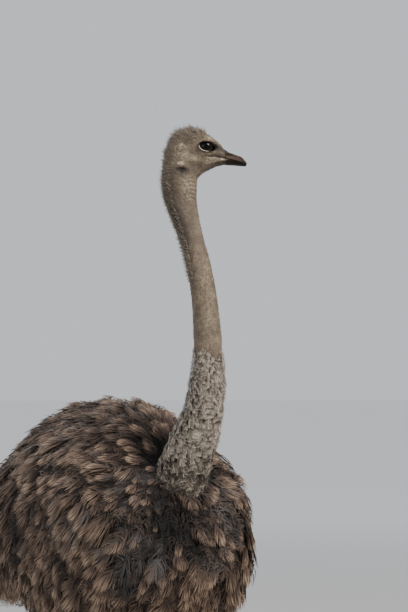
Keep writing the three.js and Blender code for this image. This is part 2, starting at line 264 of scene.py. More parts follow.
# A leg from the hip down: middle (aside, y, z), degrees its front tips up, half depth, half width.
LEG_KEYS = (
    ((125, -70, 860), 24, 104, 70), ((127, -44, 775), 22, 120, 80), ((127, -10, 692), 22, 113, 76),
    ((124, 28, 612), 22, 88, 60), ((120, 58, 546), 20, 56, 43), ((117, 75, 500), 10, 40, 34),
    ((116, 79, 465), 0, 43, 36), ((115, 76, 430), -6, 35, 30), ((112, 65, 368), -6, 26, 22),
    ((108, 50, 262), -6, 23, 19), ((105, 37, 155), -6, 24, 20), ((103, 28, 88), -4, 30, 26),
    ((102, 22, 40), 0, 33, 29), ((102, 22, 22), 0, 24, 22),
)
HIP_HEIGHT = 900.0
STRIDE = 46.0
STANCE = 42.0
FOOT_SWING = 0.95
X_AXIS = np.array([1.0, 0.0, 0.0])


def symmetric(upper: Pair, lower: Pair, half: float, **form: float) -> Station:
    """A station in the plane of symmetry, from (y, z) of its top and bottom, its half width and its form."""
    return Station(np.array([0, *upper], float), np.array([0, *lower], float), X_AXIS, half, **form)


def neck_stations() -> list[Station]:
    """The neck's stations, each square to the neck's middle line."""
    middles = np.array([key[0] for key in NECK_KEYS], float)
    stations = []
    for i, (_, depth, half, turn) in enumerate(NECK_KEYS):
        rise = unit(middles[min(i + 1, len(middles) - 1)] - middles[max(i - 1, 0)])
        angle = np.radians(turn)
        nape = np.array([-np.sin(angle), np.cos(angle), 0.0])
        nape = unit(nape - rise * (nape @ rise))
        side = unit(np.cross(nape, rise))
        stations.append(Station(middles[i] + nape * depth, middles[i] - nape * depth, side, half))
    return stations


def head_stations() -> list[Station]:
    """The stations of nape, head and bill, in the bird's axes."""
    aside = HEAD.axes()[1]
    stations = []
    for upper, lower, half, widest, crown, keel in HEAD_KEYS:
        top = HEAD.out(np.array([upper[0], 0.0, upper[1]]))
        bottom = HEAD.out(np.array([lower[0], 0.0, lower[1]]))
        stations.append(Station(top, bottom, aside, half, widest, crown, keel))
    return stations


def leg_stations(side: Side) -> list[Station]:
    """A leg's stations down from the hip: each swings by its share of the stride.

    Args:
        side: which leg.

    Returns:
        The stations.
    """
    stations = []
    for (x, y, z), tilt, depth, half in LEG_KEYS:
        swing = -side.value * STRIDE * (1 - z / HIP_HEIGHT)
        middle = np.array([side.value * x, y + STANCE + swing, z], float)
        angle = np.radians(tilt)
        front = np.array([0.0, -np.cos(angle), np.sin(angle)])
        stations.append(Station(middle + front * depth, middle - front * depth, X_AXIS, half))
    return stations


# How far the sections of the toes bulge: widest near the floor, and squarer below.
TOE_FORM = {"widest": -0.3, "crown": 2.0, "keel": 2.6}
TRUNK_FORM = {"crown": 1.95, "keel": 2.6}


@dataclass(frozen=True)
class Toe:
    """A toe: where its heel is, how far it splays, and rows of distance ahead, half width and height."""

    heel: Pair
    splay: float
    rows: tuple[Triple, ...]
    sole: float = 5.0

    def beside(self, side: Side, ahead: Array, aside: Array, up: Array) -> Array:
        """Points beside the toe.

        Args:
            side: which foot.
            ahead: distance ahead of the heel.
            aside: distance to the outer side.
            up: height above the floor.

        Returns:
            The points.
        """
        angle = np.radians(self.splay)
        x = self.heel[0] + np.sin(angle) * ahead + np.cos(angle) * aside
        y = self.heel[1] - np.cos(angle) * ahead + np.sin(angle) * aside
        y = y + STANCE - side.value * STRIDE * FOOT_SWING
        return np.stack(np.broadcast_arrays(side.value * x, y, up), axis=-1).astype(float)

    def stations(self, side: Side) -> list[Station]:
        """The toe's stations from the heel to the tip."""
        across = self.beside(side, 0, 1, 0) - self.beside(side, 0, 0, 0)
        rows = [(self.beside(side, ahead, 0, height), self.beside(side, ahead, 0, -self.sole), across, half)
                for ahead, half, height in self.rows]
        return [Station(*row, **TOE_FORM) for row in rows]


INNER_TOE = Toe((98, 29), 2, ((0, 16, 26), (16, 27, 42), (46, 33, 55), (86, 30, 46), (124, 29, 39),
                              (160, 26, 32), (188, 21, 25), (202, 11, 15)))
OUTER_TOE = Toe((104, -1), 27, ((0, 16, 30), (18, 22, 38), (52, 21, 36), (84, 19, 28), (112, 18, 24),
                                (132, 13, 18), (142, 6, 10)))


# ---- surfaces


class Surface:
    """A surface read by two places, u across and v along, in millimetres in the bird's axes."""

    v_low = 0.0
    v_high = 1.0
    most_turn = 0.06

    def point(self, u: Array, v: Array) -> Array:
        """The points at the places u, v."""
        raise NotImplementedError

    def middle(self, u: Array, v: Array) -> Array:
        """A point inside the body for each place, which tells outwards from inwards."""
        raise NotImplementedError

    def tangents(self, u: Array, v: Array) -> tuple[Array, Array, Array]:
        """The directions across and along the surface and its outward normal.

        Args:
            u: places across.
            v: places along.

        Returns:
            The two derivatives and the unit normal.
        """
        e = 2e-3
        across = (self.point(u + e, v) - self.point(u - e, v)) / (2 * e)
        ahead = np.clip(v + e, self.v_low, self.v_high)
        behind = np.clip(v - e, self.v_low, self.v_high)
        along = (self.point(u, ahead) - self.point(u, behind)) / (ahead - behind)[:, None]
        normal = unit(np.cross(across, along))
        facing = np.sign(dot(normal, self.point(u, v) - self.middle(u, v)))
        return across, along, normal * np.where(facing == 0, 1, facing)

    def walk(self, u: Array, v: Array, heading: Lie, distance: Array, steps: int = 5) -> Array:
        """Follows a heading over the surface, and straight on where the surface ends.

        Args:
            u: starting places across.
            v: starting places along.
            heading: the wished direction from points and normals.
            distance: how far to go.
            steps: the number of steps.

        Returns:
            The points reached.
        """
        reached = self.point(u, v)
        stride = (distance / steps)[:, None]
        for _ in range(steps):
            across, along, normal = self.tangents(u, v)
            wish = heading(reached, normal)
            wish = unit(wish - normal * dot(wish, normal))
            aa, ab, bb = dot(across, across), dot(across, along), dot(along, along)
            fa, fb = dot(wish, across), dot(wish, along)
            det = np.maximum(aa * bb - ab * ab, 1e-6)
            du = ((fa * bb - fb * ab) / det * stride)[:, 0]
            dv = ((fb * aa - fa * ab) / det * stride)[:, 0]
            du = np.clip(du, -self.most_turn, self.most_turn)
            here = self.point(u, v)
            u, wanted = u + du, v + dv
            v = np.clip(wanted, self.v_low, self.v_high)
            ended = (v != wanted)[:, None]
            reached = reached + np.where(ended, wish * stride, self.point(u, v) - here)
        return reached


class Loft(Surface):
    """A smooth tube through a row of stations. u is a share of a turn from the top, v counts stations."""

    def __init__(self, stations: Sequence[Station]) -> None:
        """Args: stations: the sections in order."""
        self.keys = np.array([[*s.top, *s.bottom, *s.side, s.half, s.widest, s.crown, s.keel] for s in stations])
        self.v_high = len(stations) - 1.0

    def point(self, u: Array, v: Array) -> Array:
        """The points at the places u, v."""
        row = smooth(self.keys, v)
        half, widest, crown, keel = row[:, 9:13].T
        c = np.cos(2 * np.pi * u)
        above = c > widest
        reach = np.where(above, (c - widest) / (1 - widest), (widest - c) / (1 + widest))
        power = np.where(above, crown, keel)
        out = np.maximum(0, 1 - np.clip(reach, 0, 1) ** power) ** (1 / power)
        middle = (row[:, 0:3] + row[:, 3:6]) / 2
        rise = (row[:, 0:3] - row[:, 3:6]) / 2
        aside = half * out * np.sign(np.sin(2 * np.pi * u))
        return middle + rise * c[:, None] + unit(row[:, 6:9]) * aside[:, None]

    def middle(self, u: Array, v: Array) -> Array:
        """The middles of the sections."""
        row = smooth(self.keys, v)
        return (row[:, 0:3] + row[:, 3:6]) / 2


TRUNK = Loft([symmetric(b, f, h, widest=w, **TRUNK_FORM) for b, f, h, w in TRUNK_KEYS])
TAIL = Loft([symmetric(o, i, h) for o, i, h in TAIL_KEYS])
SPINE = Loft(neck_stations() + head_stations())


class WingPad(Surface):
    """The outer face of a folded wing on the trunk: u runs down it, v from front to rear."""

    front = 10.3
    rear = 1.6
    upper = 0.095
    lower = 0.362
    droop = 0.03
    thick = 20.0
    narrowing = 0.85

    def __init__(self, side: Side) -> None:
        """Args: side: which wing."""
        self.side = side

    def _end(self, v: Array) -> Array:
        """How the wing narrows towards its two ends, from 1 at its middle."""
        return 1 - self.narrowing * np.abs(2 * v - 1) ** 3

    def _on_trunk(self, u: Array, v: Array) -> tuple[Array, Array]:
        """The trunk's own places under the wing's places."""
        width = (self.lower - self.upper) * self._end(v) ** 0.6
        turn = (self.upper + self.lower) / 2 + self.droop * v + (u - 0.5) * width
        return self.side.value * turn, self.front + (self.rear - self.front) * v

    def point(self, u: Array, v: Array) -> Array:
        """The points at the places u, v."""
        turn, station = self._on_trunk(u, v)
        fullness = np.sin(np.pi * np.clip(u, 0, 1)) ** 0.45 * self._end(v) ** 0.3
        normal = TRUNK.tangents(turn, station)[2]
        return TRUNK.point(turn, station) + normal * (self.thick * fullness)[:, None]

    def middle(self, u: Array, v: Array) -> Array:
        """The middle of the trunk under the wing."""
        turn, station = self._on_trunk(u, v)
        return TRUNK.middle(turn, station)


# ---- meshes


def shown(name: str, data: bpy.types.ID) -> Thing:
    """Puts data in the scene as an object of that name."""
    thing = bpy.data.objects.new(name, data)
    bpy.context.scene.collection.objects.link(thing)
    return thing


def store(mesh: bpy.types.Mesh, key: str, value: Array) -> None:
    """Stores a number or a vector on each vertex."""
    flat = value.ndim == 1
    layer = mesh.attributes.new(key, "FLOAT" if flat else "FLOAT_VECTOR", "POINT")
    layer.data.foreach_set("value" if flat else "vector", np.asarray(value, np.float32).ravel())


def read(mesh: bpy.types.Mesh, key: str = "co") -> Array:
    """The positions of a mesh's vertices, or their normals."""
    flat = np.empty(len(mesh.vertices) * 3, np.float32)
    mesh.vertices.foreach_get(key, flat)
    return flat.reshape(-1, 3).astype(float)


def turned_out(points: Array, faces: list[Sequence[int]]) -> list[Sequence[int]]:
    """The faces of a closed form, turned outwards."""
    volume = sum(np.dot(points[f[0]], np.cross(points[f[1]], points[f[2]])) for f in faces)
    return [face[::-1] for face in faces] if volume < 0 else faces


@dataclass
class Shape:
    """Vertices and faces, with values stored on the vertices."""

    points: Array
    faces: list[Sequence[int]]
    values: dict[str, Array]

    def object(self, name: str) -> Thing:
        """Makes the shape an object in the scene, shaded smooth.

        Args:
            name: the object's name.

        Returns:
            The object.
        """
        mesh = bpy.data.meshes.new(name)
        mesh.from_pydata(self.points.tolist(), [], [tuple(map(int, face)) for face in self.faces])
        for key, value in self.values.items():
            store(mesh, key, value)
        mesh.shade_smooth()
        return shown(name, mesh)


def joined(shapes: Iterable[Shape]) -> Shape:
    """Joins shapes into one.

    Args:
        shapes: the shapes, all with the same values.

    Returns:
        The one shape.
    """
    points, faces, values, start = [], [], {}, 0
    for shape in shapes:
        points.append(shape.points)
        faces.extend([[start + i for i in face] for face in shape.faces])
        for key, value in shape.values.items():
            values.setdefault(key, []).append(value)
        start += len(shape.points)
    return Shape(np.concatenate(points), faces, {k: np.concatenate(v) for k, v in values.items()})


def tube(rows: Array) -> Shape:
    """A closed tube through rings of points, with a fan over each end.

    Args:
        rows: rings by points by three.

    Returns:
        The tube.
    """
    count, around = rows.shape[:2]
    points = np.concatenate([rows.reshape(-1, 3), rows[0].mean(0)[None], rows[-1].mean(0)[None]])
    ring = np.arange(around)
    after = (ring + 1) % around
    faces = []
    for i in range(count - 1):
        a, b = i * around, (i + 1) * around
        faces.extend(np.stack([a + ring, a + after, b + after, b + ring], 1).tolist())
    first, last, end = count * around, count * around + 1, (count - 1) * around
    faces.extend([[first, int(j), int(i)] for i, j in zip(ring, after)])
    faces.extend([[last, int(end + i), int(end + j)] for i, j in zip(ring, after)])
    return Shape(points, turned_out(points, faces), {})


def loft_tube(surface: Surface, v: Array, around: int, moved: Relief) -> Shape:
    """A closed tube along a loft, with its points moved.

    Args:
        surface: the loft.
        v: the places of the rings along it.
        around: the number of points in a ring.
        moved: the new points from points, normals and places along.

    Returns:
        The tube in the frame.
    """
    u_grid, v_grid = np.meshgrid(np.arange(around) / around, v)
    u_flat, v_flat = u_grid.ravel(), v_grid.ravel()
    points = surface.point(u_flat, v_flat)
    normal = surface.tangents(u_flat, v_flat)[2]
    points = moved(points, normal, v_flat)
    return tube(place(points).reshape(len(v), around, 3))


def baked(thing: Thing, name: str) -> Thing:
    """Turns an object with modifiers into a plain one.

    Args:
        thing: the object, which is removed.
        name: the new name.

    Returns:
        The plain object.
    """
    graph = bpy.context.evaluated_depsgraph_get()
    mesh = bpy.data.meshes.new_from_object(thing.evaluated_get(graph))
    mesh.name = name
    bpy.data.objects.remove(thing)
    return shown(name, mesh)


def finish(thing: Thing, slot: Slot, material: Material | None = None, replaces: Sequence[str] = ()) -> Thing:
    """Dresses a finished piece and ties it to the frame.

    Args:
        thing: the piece.
        slot: not used.
        material: its material, if it has none yet.
        replaces: the nodes that it stands for.

    Returns:
        The piece.
    """
    if material is not None:
        thing.data.materials.clear()
        thing.data.materials.append(material)
    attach(thing, "root")
    if replaces:
        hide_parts(*replaces)
    log.info("%s: %d triangles", thing.name, sum(len(p.vertices) - 2 for p in thing.data.polygons))
    return thing


# ---- node trees


class Graph:
    """A node tree being built."""

    def __init__(self, tree: bpy.types.NodeTree) -> None:
        """Args: tree: the empty tree."""
        self.tree = tree

    def node(self, kind: str, settings: dict | None = None, **sockets: object) -> bpy.types.Node:
        """Adds a node.

        Args:
            kind: its type.
            settings: its own settings.
            **sockets: its inputs by identifier or name, with _ for a space.

        Returns:
            The node.
        """
        node = self.tree.nodes.new(kind)
        for key, value in (settings or {}).items():
            setattr(node, key, value)
        for key, value in sockets.items():
            self.feed(node, key.replace("_", " "), value)
        return node

    def plug(self, target: bpy.types.NodeSocket, value: object) -> None:
        """Gives an input a plain value, or a link from a node, a socket or a Socket."""
        if isinstance(value, bpy.types.Node):
            value = self.out(value)
        if isinstance(value, Socket):
            self.tree.links.new(value.socket, target)
        else:
            target.default_value = value

    def feed(self, node: bpy.types.Node, name: str, value: object) -> None:
        """Gives a node's input a value or a link.

        Args:
            node: the node.
            name: the input's identifier or name.
            value: what it takes.
        """
        plugs = [s for s in node.inputs if s.enabled]
        wanted = [s for s in plugs if name in (s.identifier, s.identifier.replace("_", " "))]
        self.plug((wanted or [s for s in plugs if s.name == name])[0], value)

    def out(self, node: bpy.types.Node, name: str | None = None) -> "Socket":
        """Wraps a node's output of that name, or its first enabled one."""
        outputs = [s for s in node.outputs if s.enabled]
        return Socket(self, next(s for s in outputs if name in (None, s.name, s.identifier)))

    def maths(self, kind: str, settings: dict, *values: object) -> "Socket":
        """Adds a node that computes its output from its inputs.

        Args:
            kind: its type.
            settings: its operation and other settings.
            *values: what its inputs take, in their order.

        Returns:
            Its output.
        """
        node = self.node(kind, settings)
        for target, value in zip([s for s in node.inputs if s.enabled], values):
            self.plug(target, value)
        return self.out(node)

    def vector(self, operation: str, *values: object) -> "Socket":
        """Adds a Vector Math node over the values."""
        return self.maths("ShaderNodeVectorMath", {"operation": operation}, *values)

    def mix(self, share: object, first: object, second: object) -> "Socket":
        """Blends two colours: share is 0 for the first and 1 for the second."""
        return self.out(self.node("ShaderNodeMix", {"data_type": "RGBA"}, Factor_Float=share, A_Color=first,
                                  B_Color=second), "Result_Color")

    def noise(self, vector: object, scale: float, detail: float = 3.0, roughness: float = 0.5) -> "Socket":
        """Soft noise from 0 to 1: scale is its lumps for each metre."""
        return self.out(self.node("ShaderNodeTexNoise", None, Vector=vector, Scale=scale, Detail=detail,
                                  Roughness=roughness), "Fac")

    def stretched(self, vector: object, scale: Triple) -> "Socket":
        """Coordinates scaled along each axis."""
        return self.out(self.node("ShaderNodeMapping", None, Vector=vector, Scale=scale))


class Socket:
    """A node's output that takes part in arithmetic: each operation adds a Math node."""

    def __init__(self, graph: Graph, socket: bpy.types.NodeSocket) -> None:
        """Args: graph: where it is. socket: the output."""
        self.graph = graph
        self.socket = socket

    def _math(self, operation: str, *values: object, clamp: bool = False) -> "Socket":
        """Adds a Math node over the values."""
        return self.graph.maths("ShaderNodeMath", {"operation": operation, "use_clamp": clamp}, *values)

    def __add__(self, other: object) -> "Socket":
        """This and the other added."""
        return self._math("ADD", self, other)

    __radd__ = __add__

    def __mul__(self, other: object) -> "Socket":
        """This times the other."""
        return self._math("MULTIPLY", self, other)

    __rmul__ = __mul__

    def __sub__(self, other: object) -> "Socket":
        """This less the other."""
        return self._math("SUBTRACT", self, other)

    def __rsub__(self, other: object) -> "Socket":
        """The other less this."""
        return self._math("SUBTRACT", other, self)

    def __truediv__(self, other: object) -> "Socket":
        """This over the other."""
        return self._math("DIVIDE", self, other)

    def __pow__(self, other: object) -> "Socket":
        """This to the other's power."""
        return self._math("POWER", self, other)

    def clamp(self) -> "Socket":
        """This kept from 0 to 1."""
        return self._math("ADD", self, 0.0, clamp=True)

    def ramp(self, low: float, high: float) -> "Socket":
        """A straight ramp from 0 at low to 1 at high."""
        return ((self - low) / (high - low)).clamp()


# ---- finishes


@dataclass(frozen=True)
class Tone:
    """A colour from its parts in linear light."""

    red: float
    green: float
    blue: float

    @property
    def rgba(self) -> tuple[float, ...]:
        """The colour with full alpha."""
        return (self.red, self.green, self.blue, 1.0)


class Finish:
    """A procedural material being built around one Principled shader."""

    def __init__(self, name: str, roughness: float, specular: float = 0.4, coat: float = 0.0) -> None:
        """Args: name: the material's name. roughness, specular, coat: constants of the shader."""
        self.material = bpy.data.materials.new(name)
        self.material.use_nodes = True
        self.graph = Graph(self.material.node_tree)
        self.shader = self.material.node_tree.nodes["Principled BSDF"]
        for socket, value in (("Roughness", roughness), ("Specular IOR Level", specular), ("Coat Weight", coat),
                              ("Coat Roughness", 0.03)):
            self.shader.inputs[socket].default_value = value

    @property
    def place(self) -> Socket:
        """Object coordinates."""
        return self.graph.out(self.graph.node("ShaderNodeTexCoord"), "Object")

    def value(self, name: str) -> Socket:
        """A value stored on the mesh."""
        return self.graph.out(self.graph.node("ShaderNodeAttribute", {"attribute_name": name}), "Fac")

    def colour(self, value: Socket) -> None:
        """Feeds the base colour."""
        self.graph.feed(self.shader, "Base Color", value)

    def rough(self, value: Socket) -> None:
        """Feeds the roughness."""
        self.graph.feed(self.shader, "Roughness", value)

    def relief(self, height: Socket, depth: float) -> None:
        """Feeds the normal from a height of 0 to 1 and a depth in metres."""
        bump = self.graph.node("ShaderNodeBump", None, Height=height, Distance=depth, Strength=1.0)
        self.graph.feed(self.shader, "Normal", self.graph.out(bump))


@dataclass(frozen=True)
class PlumeFinish:
    """Loose feathers: dark at the root and along the rib, paler towards the tips of the barbs. The darkening towards
    the root and by near is partly the feathers' darker bases and partly painted shade deep in the plumage, under the
    next tuft's fringe and in the folds.
    """

    name: str
    root: Tone
    body: Tone
    tip: Tone
    slate: Tone

    def make(self) -> Material:
        """Builds the material."""
        finish = Finish(self.name, roughness=0.7, specular=0.25)
        g = finish.graph
        along, edge, tint, near = (finish.value(name) for name in ("along", "edge", "tint", "near"))
        fine = g.noise(finish.place, 140.0, 2.0)
        # depth: the near-black from the root and from low near is painted shade deep in the plumage, partly the
        # feathers' darker bases.
        depth = (along ** 1.6 * 0.8 + near * 0.55 - 0.38 + (fine - 0.5) * 0.3).clamp()
        colour = g.mix(depth.ramp(0.1, 0.8), self.root.rgba, self.body.rgba)
        pale = edge.ramp(0.4, 1.0) * along.ramp(0.45, 0.95) * near.ramp(0.4, 0.95)
        pale = (pale * (0.25 + 1.1 * tint)).clamp()
        colour = g.mix(pale, colour, self.tip.rgba)
        colour = g.mix((finish.value("slate") * (1.25 - edge * 0.5)).clamp(), colour, self.slate.rgba)
        finish.colour(colour)
        finish.rough(0.62 + 0.2 * fine)
        return finish.material


@dataclass(frozen=True)
class SkinFinish:
    """Bare grey-tan skin, marked by the stored values dark, pale, horny and scaly; dark is partly dark markings and
    partly painted shade in creases, hollows and under the plumes.
    """

    name: str
    base: Tone
    shade: Tone
    light: Tone
    hollow: Tone
    shank: Tone
    horn: Tone

    def make(self) -> Material:
        """Builds the material."""
        finish = Finish(self.name, roughness=0.72, specular=0.3)
        g = finish.graph
        where = finish.place
        dark, pale, scaly = (finish.value(name) for name in ("dark", "pale", "scaly"))
        patches = g.noise(where, 38.0, 4.0, 0.6)
        speckle = g.noise(where, 420.0, 2.0, 0.6)
        mottle = g.noise(where, 170.0, 3.0, 0.65)
        colour = g.mix(patches.ramp(0.35, 0.68), self.shade.rgba, self.base.rgba)
        for share, tone in (
            (pale, self.light),
            (scaly, self.shank),
            ((speckle.ramp(0.44, 0.6) * 0.8 * (1 - scaly)).clamp(), self.shade),
            ((mottle.ramp(0.47, 0.63) * 0.75 * (1 - scaly * 0.6)).clamp(), self.shade),
            # dark brings the hollow tone: dark markings and painted shade.
            ((dark + (patches - 0.5) * dark * (1 - dark) * 1.3).clamp(), self.hollow),
            (finish.value("horny"), self.horn),
        ):
            colour = g.mix(share, colour, tone.rgba)
        finish.colour(colour)
        finish.rough(0.6 + 0.25 * speckle)
        folds = g.noise(g.stretched(where, (90.0, 90.0, 520.0)), 1.0, 3.0, 0.6)
        cells = g.node("ShaderNodeTexVoronoi", {"feature": "DISTANCE_TO_EDGE"}, Vector=where, Scale=260.0)
        soft = folds * 0.7 + g.noise(where, 900.0, 2.0) * 0.25
        plates = g.out(cells, "Distance").ramp(0.0, 0.12)
        finish.relief(soft * (1 - scaly) + plates * scaly, 0.0017)
        return finish.material


@dataclass(frozen=True)
class HornFinish:
    """Horn of the bill and claws: fine growth lines along it, darker towards the tip."""

    name: str
    root: Tone
    tip: Tone

    def make(self) -> Material:
        """Builds the material."""
        finish = Finish(self.name, roughness=0.5, specular=0.1)
        g = finish.graph
        where = finish.place
        streaks = g.noise(where, 160.0, 4.0, 0.65)
        flakes = g.noise(where, 700.0, 2.0)
        colour = g.mix((finish.value("along") + (streaks - 0.5) * 0.7).clamp(), self.root.rgba, self.tip.rgba)
        colour = g.mix(finish.value("pale"), colour, (0.3, 0.24, 0.18, 1.0))
        # dark: on the bill, painted shade in the nostril and along the gape, and partly under the lower jaw.
        colour = g.mix(finish.value("dark"), colour, (0.005, 0.004, 0.003, 1.0))
        finish.colour(colour)
        finish.rough(0.42 + 0.3 * streaks)
        finish.relief(streaks * 0.6 + flakes * 0.4, 0.0006)
        return finish.material


@dataclass(frozen=True)
class BristleFinish:
    """Hair, lashes and lid rims: one colour with a little variation."""

    name: str
    dark: Tone
    light: Tone
    roughness: float = 0.6

    def make(self) -> Material:
        """Builds the material."""
        finish = Finish(self.name, roughness=self.roughness, specular=0.3)
        mottle = finish.graph.noise(finish.place, 130.0, 2.0)
        share = (finish.value("tint") * 0.6 + mottle * 0.5).clamp()
        finish.colour(finish.graph.mix(share, self.dark.rgba, self.light.rgba))
        return finish.material


@dataclass(frozen=True)
class EyeFinish:
    """A wet dark eye: black pupil in a deep brown iris, by the stored value outward."""

    name: str
    iris: Tone
    rim: Tone
    pupil: Tone

    def make(self) -> Material:
        """Builds the material."""
        finish = Finish(self.name, roughness=0.08, specular=0.1, coat=0.05)
        g = finish.graph
        outward = finish.value("outward")
        fibres = g.noise(finish.place, 900.0, 3.0)
        colour = g.mix((outward.ramp(0.55, 0.8) + (fibres - 0.5) * 0.5).clamp(), self.rim.rgba, self.iris.rgba)
        finish.colour(g.mix(outward.ramp(0.84, 0.87), colour, self.pupil.rgba))
        return finish.material


PLUMES = PlumeFinish("plumes", Tone(0.004, 0.003, 0.0025), Tone(0.1, 0.064, 0.047), Tone(0.42, 0.3, 0.21),
                     Tone(0.058, 0.053, 0.052))
DOWN = PlumeFinish("neck_down", Tone(0.04, 0.032, 0.026), Tone(0.38, 0.325, 0.265), Tone(0.72, 0.63, 0.52),
                   Tone(0.34, 0.325, 0.31))
HORN = Tone(0.038, 0.022, 0.015)
SKIN = SkinFinish("skin", Tone(0.195, 0.15, 0.098), Tone(0.066, 0.048, 0.034), Tone(0.45, 0.37, 0.265),
                  Tone(0.01, 0.007, 0.006), Tone(0.2, 0.16, 0.125), HORN)
BILL = HornFinish("bill_horn", HORN, Tone(0.012, 0.008, 0.006))
CLAW = HornFinish("claw_horn", Tone(0.07, 0.055, 0.045), Tone(0.025, 0.02, 0.018))
HAIR = BristleFinish("hair", Tone(0.045, 0.036, 0.027), Tone(0.25, 0.2, 0.15))
LASH = BristleFinish("lashes", Tone(0.004, 0.003, 0.003), Tone(0.012, 0.01, 0.009))
LID_DARK = BristleFinish("lid_rim_dark", Tone(0.012, 0.009, 0.008), Tone(0.03, 0.022, 0.018))
LID_PALE = BristleFinish("lid_rim_pale", Tone(0.4, 0.32, 0.25), Tone(0.55, 0.46, 0.37), 0.4)
EYE = EyeFinish("eye_wet", Tone(0.006, 0.0035, 0.002), Tone(0.002, 0.0014, 0.001), Tone(0.0005, 0.0005, 0.0005))


# ---- skin


@dataclass(frozen=True)
class EyeOpening:
    """The almond between the lids, in the head's x and z about the eye's centre, in millimetres."""

    middle: float = 3.4
    half_length: float = 19.8
    upper: float = 10.8
    lower: float = 12.0
    tilt: float = -8.0
    lid: float = 1.3
    corners: float = 2.2
    arch: float = 1.8

    def inside(self, x: Array, z: Array) -> Array:
        """How far inside the opening a place is: 1 at its middle, 0 on its edge, below 0 outside."""
        angle = np.radians(self.tilt)
        a = x * np.cos(angle) + z * np.sin(angle) - self.middle
        b = -x * np.sin(angle) + z * np.cos(angle)
        height = np.where(b > 0, self.upper, self.lower)
        return 1 - np.abs(a / self.half_length) ** self.corners - np.abs(b / height) ** self.arch

    def edge(self, angle: Array, grow: float) -> tuple[Array, Array]:
        """Places round the opening's edge.

        Args:
            angle: directions from its middle, from the front corner over the top.
            grow: how far outside the edge.

        Returns:
            x and z about the eye's centre.
        """
        c, s = np.cos(angle), np.sin(angle)
        height = np.where(s > 0, self.upper, self.lower) + grow
        a = self.middle + (self.half_length + grow) * np.sign(c) * np.abs(c) ** (2 / self.corners)
        b = height * np.sign(s) * np.abs(s) ** (2 / self.arch)
        turn = np.radians(self.tilt)
        return a * np.cos(turn) - b * np.sin(turn), a * np.sin(turn) + b * np.cos(turn)

    def on_lid(self, x: Array, z: Array, raise_by: float) -> Array:
        """Points on the lids, in the head's axes with y positive.

        Args:
            x: places ahead of the eye's centre.
            z: places above it.
            raise_by: height over the lid.

        Returns:
            The points.
        """
        radius = EYE_RADIUS + self.lid + raise_by
        ball = EYE_ASIDE + np.sqrt(np.maximum(0, radius ** 2 - x ** 2 - z ** 2))
        flat = 32.0 - 0.1 * np.maximum(0, x - 12) ** 1.3 + raise_by
        return np.stack([x + EYE_FORWARD, np.maximum(ball, flat), z + EYE_UP], axis=-1)


OPENING = EyeOpening()


def gape(x: Array) -> Array:
    """The height of the line of the gape at each x of the head, in millimetres."""
    t = (-96 + np.sqrt(np.maximum(0.0, 96 ** 2 + 56 * np.maximum(x, 0.0)))) / 28
    return -26 * (1 - t) ** 2 - 56 * t * (1 - t) - 47 * t ** 2


def mound(head: Array, centre: Pair, size: Pair) -> Array:
    """A soft mound on both sides of the head: 1 at the centre (x, z), fading over size."""
    return np.exp(-((head[:, 0] - centre[0]) / size[0]) ** 2 - ((head[:, 2] - centre[1]) / size[1]) ** 2)


# Forms of the face: height in millimetres, where (x, z) and how wide (x, z).
FACE_FORMS = (
    (2.0, (0, 16), (17, 5)), (-3.0, (27, -11), (9, 8)), (1.6, (-40, -28), (15, 12)), (-1.5, (-28, 4), (9, 9)),
    (1.3, (-57, -47), (11, 3.5)), (-5.5, (-57, -58), (9, 4)), (1.4, (-14, -38), (16, 9)),
    (-1.0, (-34, -48), (8, 10)),
)
# Markings of the face: strength, where (x, z) and how wide (x, z). Among the dark ones, the three round the ear are
# painted shade in its hollow, and the strongest, just in front of the eye, is painted shade under the lashes.
DARK_MARKS = (
    (1.0, (-62, -57), (13, 5.5)), (0.85, (-50, -61), (13, 5.5)), (0.5, (-54, -68), (15, 9)),
    (0.5, (-43, 9), (10, 7)), (0.22, (-30, 26), (34, 8)), (1.8, (27, -8), (11, 6)), (0.8, (42, -15), (8, 5)),
    (0.4, (-36, -20), (8, 7)), (0.45, (-16, -48), (13, 6)), (0.4, (-37, -42), (10, 5)),
)
PALE_MARKS = (
    (0.95, (-59, -43), (15, 4.2)), (0.75, (-60, -3), (15, 7)), (0.55, (-54, -22), (15, 9)),
    (0.4, (-24, 14), (11, 8)), (0.45, (8, 17), (12, 4)), (0.45, (-2, -24), (16, 4)), (0.4, (-28, -32), (13, 7)),
    (0.5, (-42, -100), (15, 26)),
)
# Edges of the horn at the side of the face: x, then the height there.
FEATHER_EDGE = ((0, 3, 25, 42, 48, 53), (-26, -26, -22.5, -19, -12, 2))
CHEEK_EDGE = ((-4, 4, 23, 42, 60), (-44.5, -44, -39.5, -37, -33.5))


